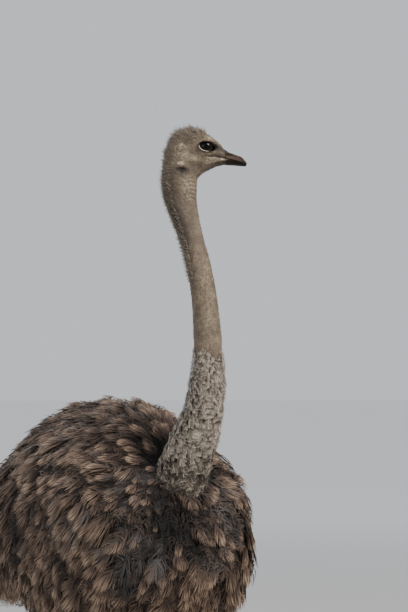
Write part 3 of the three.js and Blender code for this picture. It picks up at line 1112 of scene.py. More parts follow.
class HeadRelief:
    """The forms of the face on the skin, its markings, and the painted shade of the skin."""

    mouth_corner = 3.0
    ear = (-57.0, -58.0)

    def gape_line(self, head: Array, width: float) -> Array:
        """How near a place is to the mouth's crease: 1 on it, fading over width."""
        x, y, z = head.T
        line = np.where(x < 25, -26.4, gape(x) - 0.4)
        within = step(self.mouth_corner - 4, self.mouth_corner + 4, x) * (np.abs(y) > 4)
        return within * np.exp(-((z - line) / width) ** 2)

    def wrinkles(self, head: Array) -> Array:
        """The waves of the throat's fine cross folds, from -1 in a fold to 1 on a ridge."""
        x, y, z = head.T
        return np.sin(z / 1.5 + 1.6 * np.sin(x / 4.5) + 0.9 * np.sin(y / 5))

    def moved(self, points: Array, normal: Array, v: Array) -> Array:
        """Moves the points of the bare loft to the skin.

        Args:
            points: the loft's points.
            normal: their normals.
            v: their stations.

        Returns:
            The skin's points.
        """
        head = HEAD.into(points)
        lift = -np.interp(v, (0, 3, COLLAR - 0.3, COLLAR + 0.4, 9.5), (16, 12, 6, 1.3, 0.6))
        for size, centre, spread in FACE_FORMS:
            lift += size * mound(head, centre, spread)
        lift -= 2.2 * self.gape_line(head, 1.5)
        lift += 1.3 * self.gape_line(head + np.array([0, 0, 5.0]), 2.8)
        throat = step(-72, -84, head[:, 2]) * step(-60, -40, head[:, 0])
        lift += 0.5 * throat * self.wrinkles(head)
        lift += 0.5 * ripple(points, 9.0, 7) * step(-20, -60, head[:, 0])
        lift -= 1.3 * step(BILL_START - 0.25, BILL_START + 0.1, v)
        return self.lids(points + normal * lift[:, None])

    def nape(self, points: Array) -> Array:
        """How dark the back of the neck is, from 0 to 1: partly its darker hair, partly painted shade on the neck's
        shaded side.
        """
        keys = np.array([[*middle, turn] for middle, _, _, turn in NECK_KEYS], float)
        keys = np.vstack([keys, [-26, -412, 1700, 65], [-26, -412, 1860, 65]])
        x, y, turn = (np.interp(points[:, 2], keys[:, 2], keys[:, k]) for k in (0, 1, 3))
        back = np.stack([-np.sin(np.radians(turn)), np.cos(np.radians(turn))], 1)
        facing = unit(points[:, :2] - np.stack([x, y], 1))
        # low widens the darkened part round the neck towards the head, as painted shade over the neck's shaded side.
        low = np.interp(points[:, 2], (1400, 1530, 1600, 1670, 1740, 1800, 1850),
                        (0.5, -0.35, -1.0, -1.8, -0.9, -0.2, 0))
        return step(low, 0.95, np.sum(facing * back, 1)) * step(1430, 1640, points[:, 2])

    def lids(self, points: Array) -> Array:
        """Draws the skin over the eyeballs and opens it between the lids.

        Args:
            points: the skin's points.

        Returns:
            The points with lids.
        """
        head = HEAD.into(points)
        sign = np.where(head[:, 1] < 0, -1.0, 1.0)
        eye = np.stack([np.full(len(head), EYE_FORWARD), sign * EYE_ASIDE, np.full(len(head), EYE_UP)], 1)
        offset = head - eye
        outer = offset[:, 1] * sign
        radius = np.linalg.norm(offset, axis=1)
        lid = EYE_RADIUS + OPENING.lid
        covers = (outer > 0) & (radius < lid + 12)
        blend = 2.0
        wanted = np.maximum(radius, lid) + blend * np.exp(-((radius - lid) / (2 * blend)) ** 2) * 0.5
        near = step(34, 24, np.hypot(offset[:, 0], offset[:, 2]))
        new_radius = np.where(covers, radius + (wanted - radius) * near, radius)
        offset = offset * (new_radius / np.maximum(radius, 1e-6))[:, None]
        inside = step(0.0, 0.1, OPENING.inside(offset[:, 0], offset[:, 2])) * (outer > 0)
        offset[:, 1] -= sign * 6.5 * inside
        return HEAD.out(eye + offset)

    def markings(self, points: Array) -> dict[str, Array]:
        """The skin's markings, with painted shade in the creases and hollows, on the neck's shaded side and under the
        plumes.

        Args:
            points: the skin's points.

        Returns:
            The values dark, pale, horny and scaly.
        """
        head = HEAD.into(points)
        x, y, z = head.T
        on_head = step(-150, -120, z)
        sides = step(9, 14, np.abs(y))
        folds = np.maximum(0, -self.wrinkles(head)) ** 2
        # Painted shade in the mouth's crease and in the throat's fold valleys.
        dark = 0.95 * self.gape_line(head, 1.5) + 0.4 * folds * mound(head, (-34, -105), (11, 28))
        pale = np.zeros(len(head))
        for mark, rows in ((dark, DARK_MARKS), (pale, PALE_MARKS)):
            for strength, centre, spread in rows:
                mark += strength * mound(head, centre, spread) * sides
        # Painted shade inside the lids, round the eyeball.
        dark += step(-0.2, 0.0, OPENING.inside(x - EYE_FORWARD, z - EYE_UP)) * (np.abs(y) > 16)
        line, cheek = gape(x), np.interp(x, *CHEEK_EDGE)
        upper = step(1.6, -1.6, z - np.interp(x, *FEATHER_EDGE)) * step(-1.5, 0.5, z - line) * step(0, 6, x)
        lower = step(1.2, -1.2, z - cheek) * step(20, 30, x)
        horn = np.maximum(upper * step(-20, 40, x), lower)
        pale += step(-1.0, 1.0, z - cheek) * step(0.5, -1.5, z - line) * step(-3, 8, x) * sides
        # The nape's value is partly dark hair and partly painted shade.
        dark = dark * on_head + self.nape(points)
        up = points[:, 2]
        pale = pale * on_head + 0.05 * step(1600, 1420, up)
        # Painted shade: the skin under the plumes is darkened so the gaps between them read dark.
        shade_under_plumes = step(1250, 1140, up) * (1 - step(700, 520, up))
        values = {"dark": dark + 0.9 * shade_under_plumes, "pale": pale * (1 - dark), "horny": horn * on_head,
                  "scaly": step(560, 470, up)}
        return {key: np.clip(value, 0, 1) for key, value in values.items()}


class Skin:
    """The one skin that stands for every node of flesh."""

    around = 112
    trunk_depth = 52.0
    leg_voxel = 0.0036
    flesh = ("trunk", "tail", "neck_lower", "neck_upper", "head", "wing_left", "wing_right", "thigh_left",
             "thigh_right", "shank_left", "shank_right", "toe_inner_left", "toe_inner_right", "toe_outer_left",
             "toe_outer_right")

    def __init__(self) -> None:
        """Keeps the relief of the face."""
        self.face = HeadRelief()

    def trunk(self) -> Thing:
        """The body under the plumes."""
        def moved(points: Array, normal: Array, v: Array) -> Array:
            """Sinks the points by the plumes' depth."""
            depth = np.interp(v, (0, 1.5, 11, 12), (20, self.trunk_depth, self.trunk_depth, 40))
            return points - normal * depth[:, None]

        rings = np.concatenate([np.linspace(0, 1, 6)[:-1], np.linspace(1, 11, 41)[:-1], np.linspace(11, 12, 8)])
        return loft_tube(TRUNK, rings, 72, moved).object("skin_trunk")

    def neck_and_head(self) -> Thing:
        """Neck and head with the face's relief."""
        rings = np.concatenate([np.arange(0.2, 9.5, 0.11), np.arange(9.5, BILL_START + 0.4, 0.042)])
        return loft_tube(SPINE, rings, self.around, self.face.moved).object("skin_neck")

    def wing(self, side: Side) -> Thing:
        """A folded wing's flesh: a low pad on the trunk.

        Args:
            side: which wing.

        Returns:
            The pad.
        """
        pad = WingPad(side)
        across = np.linspace(0.12, 0.88, 16)
        along = np.linspace(0.05, 0.9, 34)
        u, v = (grid.ravel() for grid in np.meshgrid(across, along))
        normal = pad.tangents(u, v)[2]
        rise = (np.sin(np.pi * (u - 0.12) / 0.76) * np.sin(np.pi * np.clip((v - 0.05) / 0.85, 0, 1))) ** 0.5
        outer = pad.point(u, v) - normal * (38 + 60 * (1 - rise))[:, None]
        inner = pad.point(u, v) - normal * 104
        rows = np.concatenate([outer.reshape(34, 16, 3), inner.reshape(34, 16, 3)[:, ::-1]], axis=1)
        return tube(place(rows)).object(f"skin_wing_{side.word}")

    def leg(self, side: Side) -> Thing:
        """A leg and its two toes, melted into one.

        Args:
            side: which leg.

        Returns:
            The leg.
        """
        def form(name: str, stations: list[Station], rings: int, around: int) -> Thing:
            """A tube through the stations as an object."""
            loft = Loft(stations)
            return loft_tube(loft, np.linspace(0, loft.v_high, rings), around, lambda points, *_: points).object(name)

        limb = form("limb", leg_stations(side), 90, 40)
        for toe in (INNER_TOE, OUTER_TOE):
            self.unite(limb, form("digit", toe.stations(side), 40, 28))
        melt = limb.modifiers.new("melt", "REMESH")
        melt.mode = "VOXEL"
        melt.voxel_size = self.leg_voxel
        ease = limb.modifiers.new("ease", "SMOOTH")
        ease.factor = 0.5
        ease.iterations = 12
        limb = baked(limb, f"skin_leg_{side.word}")
        points = self.scutes(back_to_bird(read(limb.data)), read(limb.data, "normal"))
        points[:, 2] = np.maximum(points[:, 2], 0.0)
        limb.data.vertices.foreach_set("co", place(points).astype(np.float32).ravel())
        return limb

    def scutes(self, points: Array, normal: Array) -> Array:
        """Raises broad plates on the front of the shank and the tops of the toes.

        Args:
            points: the leg's points.
            normal: their normals.

        Returns:
            The points with scutes.
        """
        z = points[:, 2]
        front = step(0.35, 0.75, -normal[:, 1]) * step(78, 100, z) * step(440, 400, z)
        down_leg = 1 - np.mod(z / 15.0, 1.0)
        top = step(0.25, 0.6, normal[:, 2]) * step(64, 54, z) * step(12, 18, z)
        along_toe = np.mod(points[:, 1] / 11.0, 1.0)
        plate = front * (0.35 + down_leg) + top * (1.35 - along_toe)
        return points + normal * (1.1 * plate)[:, None]

    def unite(self, body: Thing, other: Thing) -> None:
        """Joins another closed object to a body.

        Args:
            body: the one that grows.
            other: the one that goes into it.
        """
        modifier = body.modifiers.new("join", "BOOLEAN")
        modifier.operation = "UNION"
        modifier.solver = "MANIFOLD"
        modifier.object = other
        other.hide_render = True

    def build(self) -> Thing:
        """Joins all parts of the skin, marks it and dresses it.

        Returns:
            The skin.
        """
        body = self.trunk()
        for part in [self.neck_and_head(), *map(self.wing, Side), *map(self.leg, Side)]:
            self.unite(body, part)
        skin = baked(body, "skin")
        for helper in [o for o in bpy.data.objects if o.name.startswith(("skin_", "digit", "limb"))]:
            bpy.data.objects.remove(helper)
        for key, value in self.face.markings(back_to_bird(read(skin.data))).items():
            store(skin.data, key, value)
        skin.data.shade_smooth()
        return finish(skin, Slot.SKIN, SKIN.make(), self.flesh)


# ---- eyes, lids, bill and claws


class Eyes:
    """Eyeballs, lid rims and lashes."""

    rings = 40

    def ball(self, side: Side) -> Thing:
        """An eyeball with a slightly raised cornea.

        Args:
            side: which eye.

        Returns:
            The eyeball.
        """
        polar = np.linspace(0.02, np.pi - 0.02, self.rings)
        around = np.arange(56) / 56 * 2 * np.pi
        turn, down = np.meshgrid(around, polar)
        outward = np.cos(down)
        radius = EYE_RADIUS + 0.7 * step(0.8, 0.97, outward)
        local = np.stack([radius * np.sin(down) * np.cos(turn), radius * outward * side.value,
                          radius * np.sin(down) * np.sin(turn)], -1)
        local = local + np.array([EYE_FORWARD, EYE_ASIDE * side.value, EYE_UP])
        ball = tube(place(HEAD.out(local)))
        ball.values["outward"] = np.concatenate([outward.ravel(), [1.0, -1.0]])
        return finish(ball.object(f"eyeball_{side.word}"), Slot.EYE, EYE.make(), (f"eye_{side.word}",))

    def rim(self, side: Side, name: str, angles: Array, grow: float, thick: float, closed: bool,
            material: Material) -> Thing:
        """A fold along the edge of the lids.

        Args:
            side: which eye.
            name: the piece's name.
            angles: the directions it runs through.
            grow: how far outside the opening it lies.
            thick: its thickness.
            closed: whether it runs all the way round.
            material: its finish.

        Returns:
            The rim.
        """
        x, z = OPENING.edge(angles, grow)
        line = OPENING.on_lid(x, z, 0.1)
        line[:, 1] *= side.value
        ahead = unit(np.roll(line, -1, 0) - np.roll(line, 1, 0)) if closed else unit(np.gradient(line, axis=0))
        outward = unit(line - np.array([EYE_FORWARD, EYE_ASIDE * side.value * 0.4, EYE_UP]))
        across = unit(np.cross(ahead, outward))
        share = np.linspace(0, 1, len(line))
        taper = np.ones(len(line)) if closed else 0.25 + 0.75 * np.sin(np.pi * share) ** 0.6
        turns = np.arange(8) / 8 * 2 * np.pi
        ring = (across[:, None] * np.cos(turns)[None, :, None] + outward[:, None] * np.sin(turns)[None, :, None])
        rows = line[:, None] + ring * (thick * taper)[:, None, None]
        shape = tube(place(HEAD.out(rows)))
        if closed:
            count, points = len(line), shape.points[:-2]
            faces = [[i * 8 + j, i * 8 + (j + 1) % 8, (i + 1) % count * 8 + (j + 1) % 8, (i + 1) % count * 8 + j]
                     for i in range(count) for j in range(8)]
            shape = Shape(points, turned_out(points, faces), {})
        shape.values["tint"] = np.full(len(shape.points), 0.5)
        return finish(shape.object(f"{name}_{side.word}"), Slot.SKIN, material)

    def lashes(self, side: Side, material: Material) -> Thing:
        """Two rows of lashes along the upper lid.

        Args:
            side: which eye.
            material: their finish.

        Returns:
            The lashes.
        """
        chance = np.random.default_rng(40 + side.value)
        blades = []
        for angle in np.concatenate([np.linspace(0.12, 2.75, 70), np.linspace(0.0, 1.6, 40)]):
            x, z = OPENING.edge(np.array([angle + chance.normal(0, 0.02)]), 0.6)
            root = OPENING.on_lid(x, z, 0.2)[0]
            lean = np.array([0.45 + 0.5 * np.cos(angle), 0.75, 0.12 + 0.25 * np.sin(angle)])
            lean = unit(lean + chance.normal(0, 0.12, 3))
            length = chance.uniform(8, 13)
            blades.append(bristle(root, lean, np.array([0.35, 0.0, -0.8]), length, 0.32))
        shape = joined(blades)
        shape.points[:, 1] *= side.value
        if side is Side.RIGHT:
            shape.faces = [face[::-1] for face in shape.faces]
        shape.points = place(HEAD.out(shape.points))
        return finish(shape.object(f"lashes_{side.word}"), Slot.SKIN, material)

    def build(self) -> None:
        """Makes both eyes."""
        dark, pale, lash = LID_DARK.make(), LID_PALE.make(), LASH.make()
        for side in Side:
            self.ball(side)
            self.rim(side, "lid_rim", np.linspace(0, 2 * np.pi, 96, endpoint=False), 0.9, 1.0, True, dark)
            self.rim(side, "lid_edge", np.linspace(2.95, 5.0, 60), -1.0, 0.7, False, pale)
            self.lashes(side, lash)


def bristle(root: Array, lean: Array, droop: Array, length: float, thick: float) -> Shape:
    """One curved hair: a three-sided spike.

    Args:
        root: where it grows.
        lean: its first direction.
        droop: how it bends, as a share of its length.
        length: its length.
        thick: its thickness at the root.

    Returns:
        The spike.
    """
    middle = root + lean * length * 0.55 + droop * length * 0.08
    tip = root + lean * length * 0.95 + droop * length * 0.35
    across = unit(np.cross(lean, [0.3, 0.2, 0.9]))
    up = np.cross(across, lean)
    rings = []
    for centre, size in ((root, thick), (middle, thick * 0.65)):
        rings += [centre + size * (across * np.cos(a) + up * np.sin(a)) for a in (0, 2.094, 4.189)]
    points = np.array(rings + [tip])
    faces = [[0, 1, 4, 3], [1, 2, 5, 4], [2, 0, 3, 5], [3, 4, 6], [4, 5, 6], [5, 3, 6]]
    return Shape(points, faces, {"tint": np.full(7, 0.3)})


class Bill:
    """The horn sheaths of both jaws."""

    around = 72
    rings = 64
    nostril = (55.0, -22.5)
    fullness = 4.0
    # Forms of each half: height, where (x, z), how wide (x, z), and how far aside they start.
    upper_forms = ((-4.0, nostril, (6.5, 2.2), 5), (0.9, (55, -24.5), (8, 1.6), 5), (-0.8, (56, -16), (11, 2.2), 6))
    lower_forms = ((-0.6, (62, -41.5), (20, 1.4), 6),)

    def half(self, upper: bool) -> Thing:
        """One jaw's sheath.

        Args:
            upper: the upper jaw, or else the lower one.

        Returns:
            The sheath.
        """
        v = np.linspace(BILL_START - 0.12, SPINE_END - 0.02, self.rings)

        def moved(points: Array, normal: Array, places: Array) -> Array:
            """Cuts the loft at the gape and adds the nostrils, the culmen and the nail."""
            head = HEAD.into(points)
            x, y, z = head.T
            lift = np.full(len(head), 0.25)
            for size, centre, spread, aside in self.upper_forms if upper else self.lower_forms:
                lift = lift + size * mound(head, centre, spread) * (np.abs(y) > aside)
            if upper:
                lift = lift + 0.8 * step(77, 80, x) - 0.3 * step(72, 77, x)
            edge = np.exp(-((z - gape(x)) / 1.6) ** 2)
            x, y, z = HEAD.into(points + normal * (lift + 0.35 * edge)[:, None]).T
            line = gape(x)
            if upper:
                full = self.fullness * np.exp(-((x - 84) / 13) ** 2)
                z = np.maximum(z + full * np.clip((z - line) / 8, 0, 1), line - 0.1)
            else:
                z = np.minimum(z, line - 0.7)
            return HEAD.out(np.stack([x, y, z], 1))

        shape = loft_tube(SPINE, v, self.around, moved)
        head = HEAD.into(back_to_bird(shape.points))
        x, y, z = head.T
        along = step(45, 92, x) * (0.75 if upper else 0.95) + (0.0 if upper else 0.15)
        # rib: painted highlight, the ridge of the upper bill is lightened by lowering along there.
        rib = np.exp(-(y / 5.0) ** 2) * step(0.2, 1.0, z - gape(x))
        shape.values["along"] = np.clip(along - 0.25 * rib * upper, 0, 1)
        # Painted shade in the nostril and its groove and along the gape; the lower jaw is darker all over, partly its
        # own colour and partly painted shade of its underside.
        dark = 1.8 * mound(head, self.nostril, (8.5, 2.4)) * (np.abs(y) > 5) * upper
        dark = dark + 0.7 * np.exp(-((z - gape(x)) / 0.9) ** 2)
        dark = dark + 0.5 * mound(head, (50, -16), (4, 5)) * upper + (0.75 if not upper else 0.0)
        dark = dark + 0.7 * mound(head, (66, -20), (13, 2.2)) * upper
        shape.values["dark"] = np.clip(dark, 0, 1)
        shape.values["pale"] = step(-1.0, 1.0, z - np.interp(x, *CHEEK_EDGE)) * step(60, 52, x) * (not upper)
        word = "upper" if upper else "lower"
        return finish(shape.object(f"horn_{word}"), Slot.HORN, BILL.make(), (f"bill_{word}",))

    def build(self) -> None:
        """Makes both halves."""
        self.half(upper=True)
        self.half(upper=False)


class Claws:
    """The large claw of each inner toe."""

    start = 184.0
    length = 48.0
    half = 14.0
    height = 24.0
    lift = 2.0

    def claw(self, side: Side) -> Thing:
        """One claw.

        Args:
            side: which foot.

        Returns:
            The claw.
        """
        run, turn = np.meshgrid(np.linspace(0, 1, 26), np.arange(28) / 28 * 2 * np.pi, indexing="ij")
        thin = np.sqrt(np.maximum(0.012, 1 - run ** 1.6))
        ridge = 1 + 0.06 * np.cos(turn) ** 8
        aside = self.half * thin * np.sin(turn)
        middle = self.lift + self.height / 2 * thin
        up = np.maximum(0.6, middle + self.height / 2 * thin * ridge * np.cos(turn))
        rows = INNER_TOE.beside(side, self.start + self.length * run, aside, up)
        shape = tube(place(rows))
        shape.values["along"] = np.concatenate([run.ravel(), [0.0, 1.0]])
        shape.values["dark"] = np.zeros(len(shape.points))
        return finish(shape.object(f"nail_{side.word}"), Slot.HORN, CLAW.make(), (f"claw_{side.word}",))

    def build(self) -> None:
        """Makes both claws."""
        for side in Side:
            self.claw(side)


# ---- feathers


def prototype(points: Sequence[Array], faces: list[Sequence[int]], along: Array, edge: Array) -> Shape:
    """A feather with the values local, along and edge: its place on its map, along it and across it."""
    points = np.array(points)
    return Shape(points, faces, {"local": points * [1, 1, 0], "along": along, "edge": np.array(edge)})


@dataclass(frozen=True)
class Plume:
    """One loose feather of unit length along +X, its vane in the XY plane, facing +Z.

    Its barbs leave the rib, bend until they run along it, and end in a rounded fringe.
    """

    barbs: int = 9
    half_width: float = 0.2
    barb_width: float = 0.02
    reach: float = 0.3
    arch: float = 0.06
    curl: float = 0.25
    rib: float = 0.006
    spread: float = 0.72

    def rib_point(self, t: Array, sway: float) -> Array:
        """Points along the rib."""
        return np.stack([t, sway * np.sin(np.pi * t), self.arch * np.sin(np.pi * t)], -1)

    def barb(self, share: float, chance: np.random.Generator) -> Triple:
        """Places one barb.

        Args:
            share: 0 for the lowest barb, 1 for the last one.
            chance: random numbers.

        Returns:
            Where it leaves the rib, how far aside it ends and how far along.
        """
        t = 0.08 + 0.78 * share
        aside = self.half_width * np.sin(np.pi * (0.2 + 0.62 * t)) ** 0.6 * chance.uniform(0.35, 1.15)
        ahead = self.reach * (1.15 - 0.5 * t) * chance.uniform(0.8, 1.25)
        return t, aside, min(t + ahead, 1.02 - 0.5 * aside + chance.normal(0, 0.02))

    def shape(self, seed: int) -> Shape:
        """Builds the feather.

        Args:
            seed: picks its sways and gaps.

        Returns:
            The feather.
        """
        chance = np.random.default_rng(seed)
        sway = chance.uniform(-0.06, 0.06)
        points, faces, along, edge = [], [], [], []
        for sign in (-1, 1):
            for share in np.linspace(0, 1, self.barbs):
                t, aside, end = self.barb(share, chance)
                root = self.rib_point(np.array(t), sway)
                tip = root + np.array([end - t, sign * aside, -self.curl * aside * chance.uniform(0.2, 1.3)])
                bend = np.array([(end - t) * 0.45, sign * aside * self.spread, 0.012 * chance.uniform(-1, 2)])
                middle = root + bend
                roll = chance.normal(0, 0.5)
                way = unit(tip - root)
                flat = unit(np.cross([0, 0, 1.0], way))
                across = (flat * np.cos(roll) + np.array([0, 0, 1.0]) * np.sin(roll))
                across = across * self.barb_width * chance.uniform(0.7, 1.3) / 2
                start = len(points)
                points += [root - across, root + across, middle - across * 0.9, middle + across * 0.9, tip]
                faces += [[start, start + 2, start + 3, start + 1], [start + 2, start + 4, start + 3]]
                along += [t, t, (t + end) / 2, (t + end) / 2, end]
                edge += [0.0, 0.0, 0.5, 0.5, 1.0]
        ribs = self.rib_point(np.linspace(0, 0.95, 3), sway)
        start = len(points)
        for k, centre in enumerate(ribs):
            size = self.rib * (1 - 0.4 * k)
            points += [centre + [0, -size, 0.004], centre + [0, size, 0.004]]
            along += [k / 2] * 2
            edge += [0.3 * k] * 2
        faces += [[start + 2 * k, start + 2 * k + 2, start + 2 * k + 3, start + 2 * k + 1] for k in range(2)]
        return prototype(points, faces, np.clip(along, 0, 1), edge)


@dataclass(frozen=True)
class Vane(Plume):
    """A broad feather whose barbs end side by side round a half ellipse."""

    barbs: int = 14
    half_width: float = 0.25
    barb_width: float = 0.024
    reach: float = 0.5
    spread: float = 0.78
    half_length: float = 0.26
    sweep: float = 1.8

    def barb(self, share: float, chance: np.random.Generator) -> Triple:
        """Places one barb. Args: share and chance as in a plume. Returns: the same three places."""
        angle = self.sweep * (1 - share) + chance.normal(0, 0.12)
        fill = chance.uniform(0.55, 1.1)
        aside = self.half_width * abs(np.sin(angle)) * fill
        end = 1 - self.half_length * (1 - np.cos(angle)) * fill + chance.normal(0, 0.02)
        return end - self.reach * chance.uniform(0.7, 1.2), aside, end


@dataclass(frozen=True)
class Spike:
    """One short hair of unit length along +X: a three-sided spike that bends down a little."""

    thick: float = 0.03
    bend: float = 0.12

    def shape(self, seed: int) -> Shape:
        """Builds the hair.

        Args:
            seed: picks its bend.

        Returns:
            The hair.
        """
        chance = np.random.default_rng(seed)
        tip = np.array([1.0, chance.uniform(-0.15, 0.15), -self.bend * chance.uniform(0.2, 1.5)])
        ring = [[0, self.thick * np.cos(a), self.thick * np.sin(a)] for a in (0.5, 2.6, 4.7)]
        along = np.array([0.0, 0.0, 0.0, 1.0])
        return prototype([*ring, tip], [[0, 1, 3], [1, 2, 3], [2, 0, 3]], along, along)


class CoatTree:
    """The node tree that grows feathers on a patch, along the patch's own stored directions."""

    inputs = (
        ("Patch", "NodeSocketGeometry", None),
        ("Feathers", "NodeSocketCollection", None),
        ("Finish", "NodeSocketMaterial", None),
        ("Spacing", "NodeSocketFloat", 0.015),
        ("Most per area", "NodeSocketFloat", 70000.0),
        ("Seed", "NodeSocketInt", 1),
        ("Least size", "NodeSocketFloat", 0.8),
        ("Most size", "NodeSocketFloat", 1.15),
        ("Roll", "NodeSocketFloat", 0.3),
        ("Lift", "NodeSocketFloat", 0.05),
        ("Turn", "NodeSocketFloat", 0.16),
        ("Ruffle", "NodeSocketFloat", 0.006),
        ("Ruffle size", "NodeSocketFloat", 16.0),
        ("Tint range", "NodeSocketFloat", 0.25),
    )
    tuft_on_map = 0.003

    def __init__(self) -> None:
        """Builds the tree once."""
        self.tree = bpy.data.node_groups.new("coat", "GeometryNodeTree")
        self.sockets: dict[str, str] = {}
        for name, kind, value in self.inputs:
            socket = self.tree.interface.new_socket(name, in_out="INPUT", socket_type=kind)
            if value is not None:
                socket.default_value = value
            self.sockets[name] = socket.identifier
        self.tree.interface.new_socket("Coat", in_out="OUTPUT", socket_type="NodeSocketGeometry")
        self._build()

    def _stored(self, g: Graph, name: str, kind: str = "FLOAT") -> Socket:
        """Reads a value stored on the geometry."""
        return g.out(g.node("GeometryNodeInputNamedAttribute", {"data_type": kind}, Name=name), "Attribute")

    def _random(self, g: Graph, low: object, high: object, seed: object) -> Socket:
        """A random number for each point."""
        return g.out(g.node("FunctionNodeRandomValue", {"data_type": "FLOAT"}, Min_001=low, Max_001=high, Seed=seed))

    def _build(self) -> None:
        """Adds the nodes."""
        g = Graph(self.tree)
        given = g.node("NodeGroupInput")
        take = {name: g.out(given, name) for name, _, _ in self.inputs}
        points = g.node("GeometryNodeDistributePointsOnFaces", {"distribute_method": "POISSON"}, Mesh=take["Patch"],
                        Seed=take["Seed"], Distance_Min=take["Spacing"], Density_Max=take["Most per area"])
        feathers = g.node("GeometryNodeCollectionInfo", None, Collection=take["Feathers"], Separate_Children=True,
                          Reset_Children=True)
        aim = g.node("FunctionNodeAxesToRotation", {"primary_axis": "X", "secondary_axis": "Z"},
                     Primary_Axis=self._stored(g, "flow", "FLOAT_VECTOR"),
                     Secondary_Axis=self._stored(g, "out", "FLOAT_VECTOR"))
        roll, lift, turn = (self._random(g, take[name] * -1.0, take[name], take["Seed"] + (index + 3))
                            for index, name in enumerate(("Roll", "Lift", "Turn")))
        swing = g.node("FunctionNodeEulerToRotation", None,
                       Euler=g.node("ShaderNodeCombineXYZ", None, X=roll, Y=lift, Z=turn))
        turned = g.node("FunctionNodeRotateRotation", {"rotation_space": "LOCAL"}, Rotation=aim, Rotate_By=swing)
        size = self._stored(g, "length") * self._random(g, take["Least size"], take["Most size"], take["Seed"] + 9)
        pick = g.node("FunctionNodeRandomValue", {"data_type": "INT"}, Max_002=997, Seed=take["Seed"] + 11)
        shift = self._random(g, take["Tint range"] * -1.0, take["Tint range"], take["Seed"] + 13)
        tint = (self._stored(g, "tone") + shift).clamp()
        marked = g.node("GeometryNodeStoreNamedAttribute", {"data_type": "FLOAT", "domain": "POINT"},
                        Geometry=g.out(points, "Points"), Name="tint", Value=tint)
        grown = g.node("GeometryNodeInstanceOnPoints", None, Points=marked, Instance=feathers, Rotation=turned,
                       Scale=size, Pick_Instance=True, Instance_Index=pick)
        real = g.node("GeometryNodeRealizeInstances", None, Geometry=grown)
        spread = g.vector("SCALE", self._stored(g, "local", "FLOAT_VECTOR"), self.tuft_on_map)
        mapped = g.node("GeometryNodeStoreNamedAttribute", {"data_type": "FLOAT2", "domain": "CORNER"}, Geometry=real,
                        Name="OFBake", Value=g.vector("ADD", self._stored(g, "root_uv", "FLOAT_VECTOR"), spread))
        wave = g.node("ShaderNodeTexNoise", None, Scale=take["Ruffle size"], Detail=1.5)
        centred = g.vector("SUBTRACT", g.out(wave, "Color"), (0.5, 0.5, 0.5))
        blown = g.vector("SCALE", centred, self._stored(g, "along") ** 1.5 * take["Ruffle"] * 4.0)
        moved = g.node("GeometryNodeSetPosition", None, Geometry=mapped, Offset=blown)
        dressed = g.node("GeometryNodeSetMaterial", None, Geometry=moved, Material=take["Finish"])
        self.tree.links.new(dressed.outputs[0], g.node("NodeGroupOutput").inputs[0])

    def grow(self, patch: Thing, name: str, **given: object) -> Thing:
        """Runs the tree on a patch.

        Args:
            patch: the stored directions, which are removed.
            name: the piece's name.
            **given: the tree's inputs, with _ for a space.

        Returns:
            The coat as a plain object.
        """
        modifier = patch.modifiers.new("coat", "NODES")
        modifier.node_group = self.tree
        for key, value in given.items():
            modifier[self.sockets[key.replace("_", " ")]] = value
        return baked(patch, name)


@dataclass(frozen=True)
class Lobes:
    """The rounded tufts that plumes gather in, laid over one another like shingles. Millimetres."""

    long: float = 70.0
    half_width: float = 32.0
    apart: float = 34.0
    rise: float = 26.0
    gather: float = 0.5

    def centres(self, tips: Array, chance: np.random.Generator) -> Array:
        """Picks tips that lie at least a set distance apart.

        Args:
            tips: all tips.
            chance: the source of random numbers.

        Returns:
            The numbers of the picked ones.
        """
        picked: list[int] = []
        for index in chance.permutation(len(tips)):
            if not picked or np.min(np.sum((tips[picked] - tips[index]) ** 2, 1)) > self.apart ** 2:
                picked.append(int(index))
        return np.array(picked)

    def shape(self, tips: Array, flow: Array, normal: Array, strength: Array,
              seed: int) -> tuple[Array, Array, Array]:
        """Gathers tips into tufts.

        Args:
            tips: the feathers' tips.
            flow: the unit directions in which they lie.
            normal: the normals there.
            strength: how marked the tufts are, from 0 to 1.
            seed: picks the tufts.

        Returns:
            The moved tips, how near each is to its tuft's fringe, and its tuft's tone.
        """
        chance = np.random.default_rng(seed)
        picked = self.centres(tips, chance)
        tone = chance.uniform(0, 1, len(picked))
        best = np.full(len(tips), self.long)
        owner = np.zeros(len(tips), int)
        aside = np.zeros((len(tips), 3))
        for number, index in enumerate(picked):
            offset = tips - tips[index]
            ahead = offset @ flow[index]
            sideways = offset - ahead[:, None] * flow[index]
            wide = np.linalg.norm(sideways, axis=1)
            behind = -ahead - wide ** 2 / (1.6 * self.half_width)
            mine = (behind >= 0) & (behind < best) & (wide < self.half_width * (0.8 + 0.4 * tone[number]))
            best[mine], owner[mine], aside[mine] = behind[mine], number, sideways[mine]
        # near later paints shade on the plumes far behind a fringe, under the tuft above.
        near = 1 - best / self.long
        marked = strength[:, None]
        moved = tips - aside * self.gather * marked - normal * (self.rise * (1 - near))[:, None] * marked
        return moved, near, tone[owner]


# Where painted shade darkens the plumage in its deep folds: x, y, z in the bird's axes and how wide.
PAINTED_SHADE_FOLDS = ((-60, -481, 970, 46), (-20, -499, 955, 40), (-81, -504, 922, 28), (-78, -515, 889, 24),
         (-116, -500, 855, 28), (-25, -521, 897, 26), (121, -483, 938, 22), (11, -523, 852, 22),
         (-239, -281, 819, 36), (-267, -8, 872, 50), (-165, -442, 818, 26), (-100, -419, 1045, 22))


def in_fold(points: Array) -> Array:
    """How much painted shade of a deep fold of the plumage each place gets, from 0 to 1."""
    return np.max([np.exp(-np.sum((points - np.array(fold[:3])) ** 2, 1) / fold[3] ** 2) for fold in PAINTED_SHADE_FOLDS], axis=0)


def no_shade(points: Array) -> Array:
    """No darkening at any place."""
    return np.zeros(len(points))


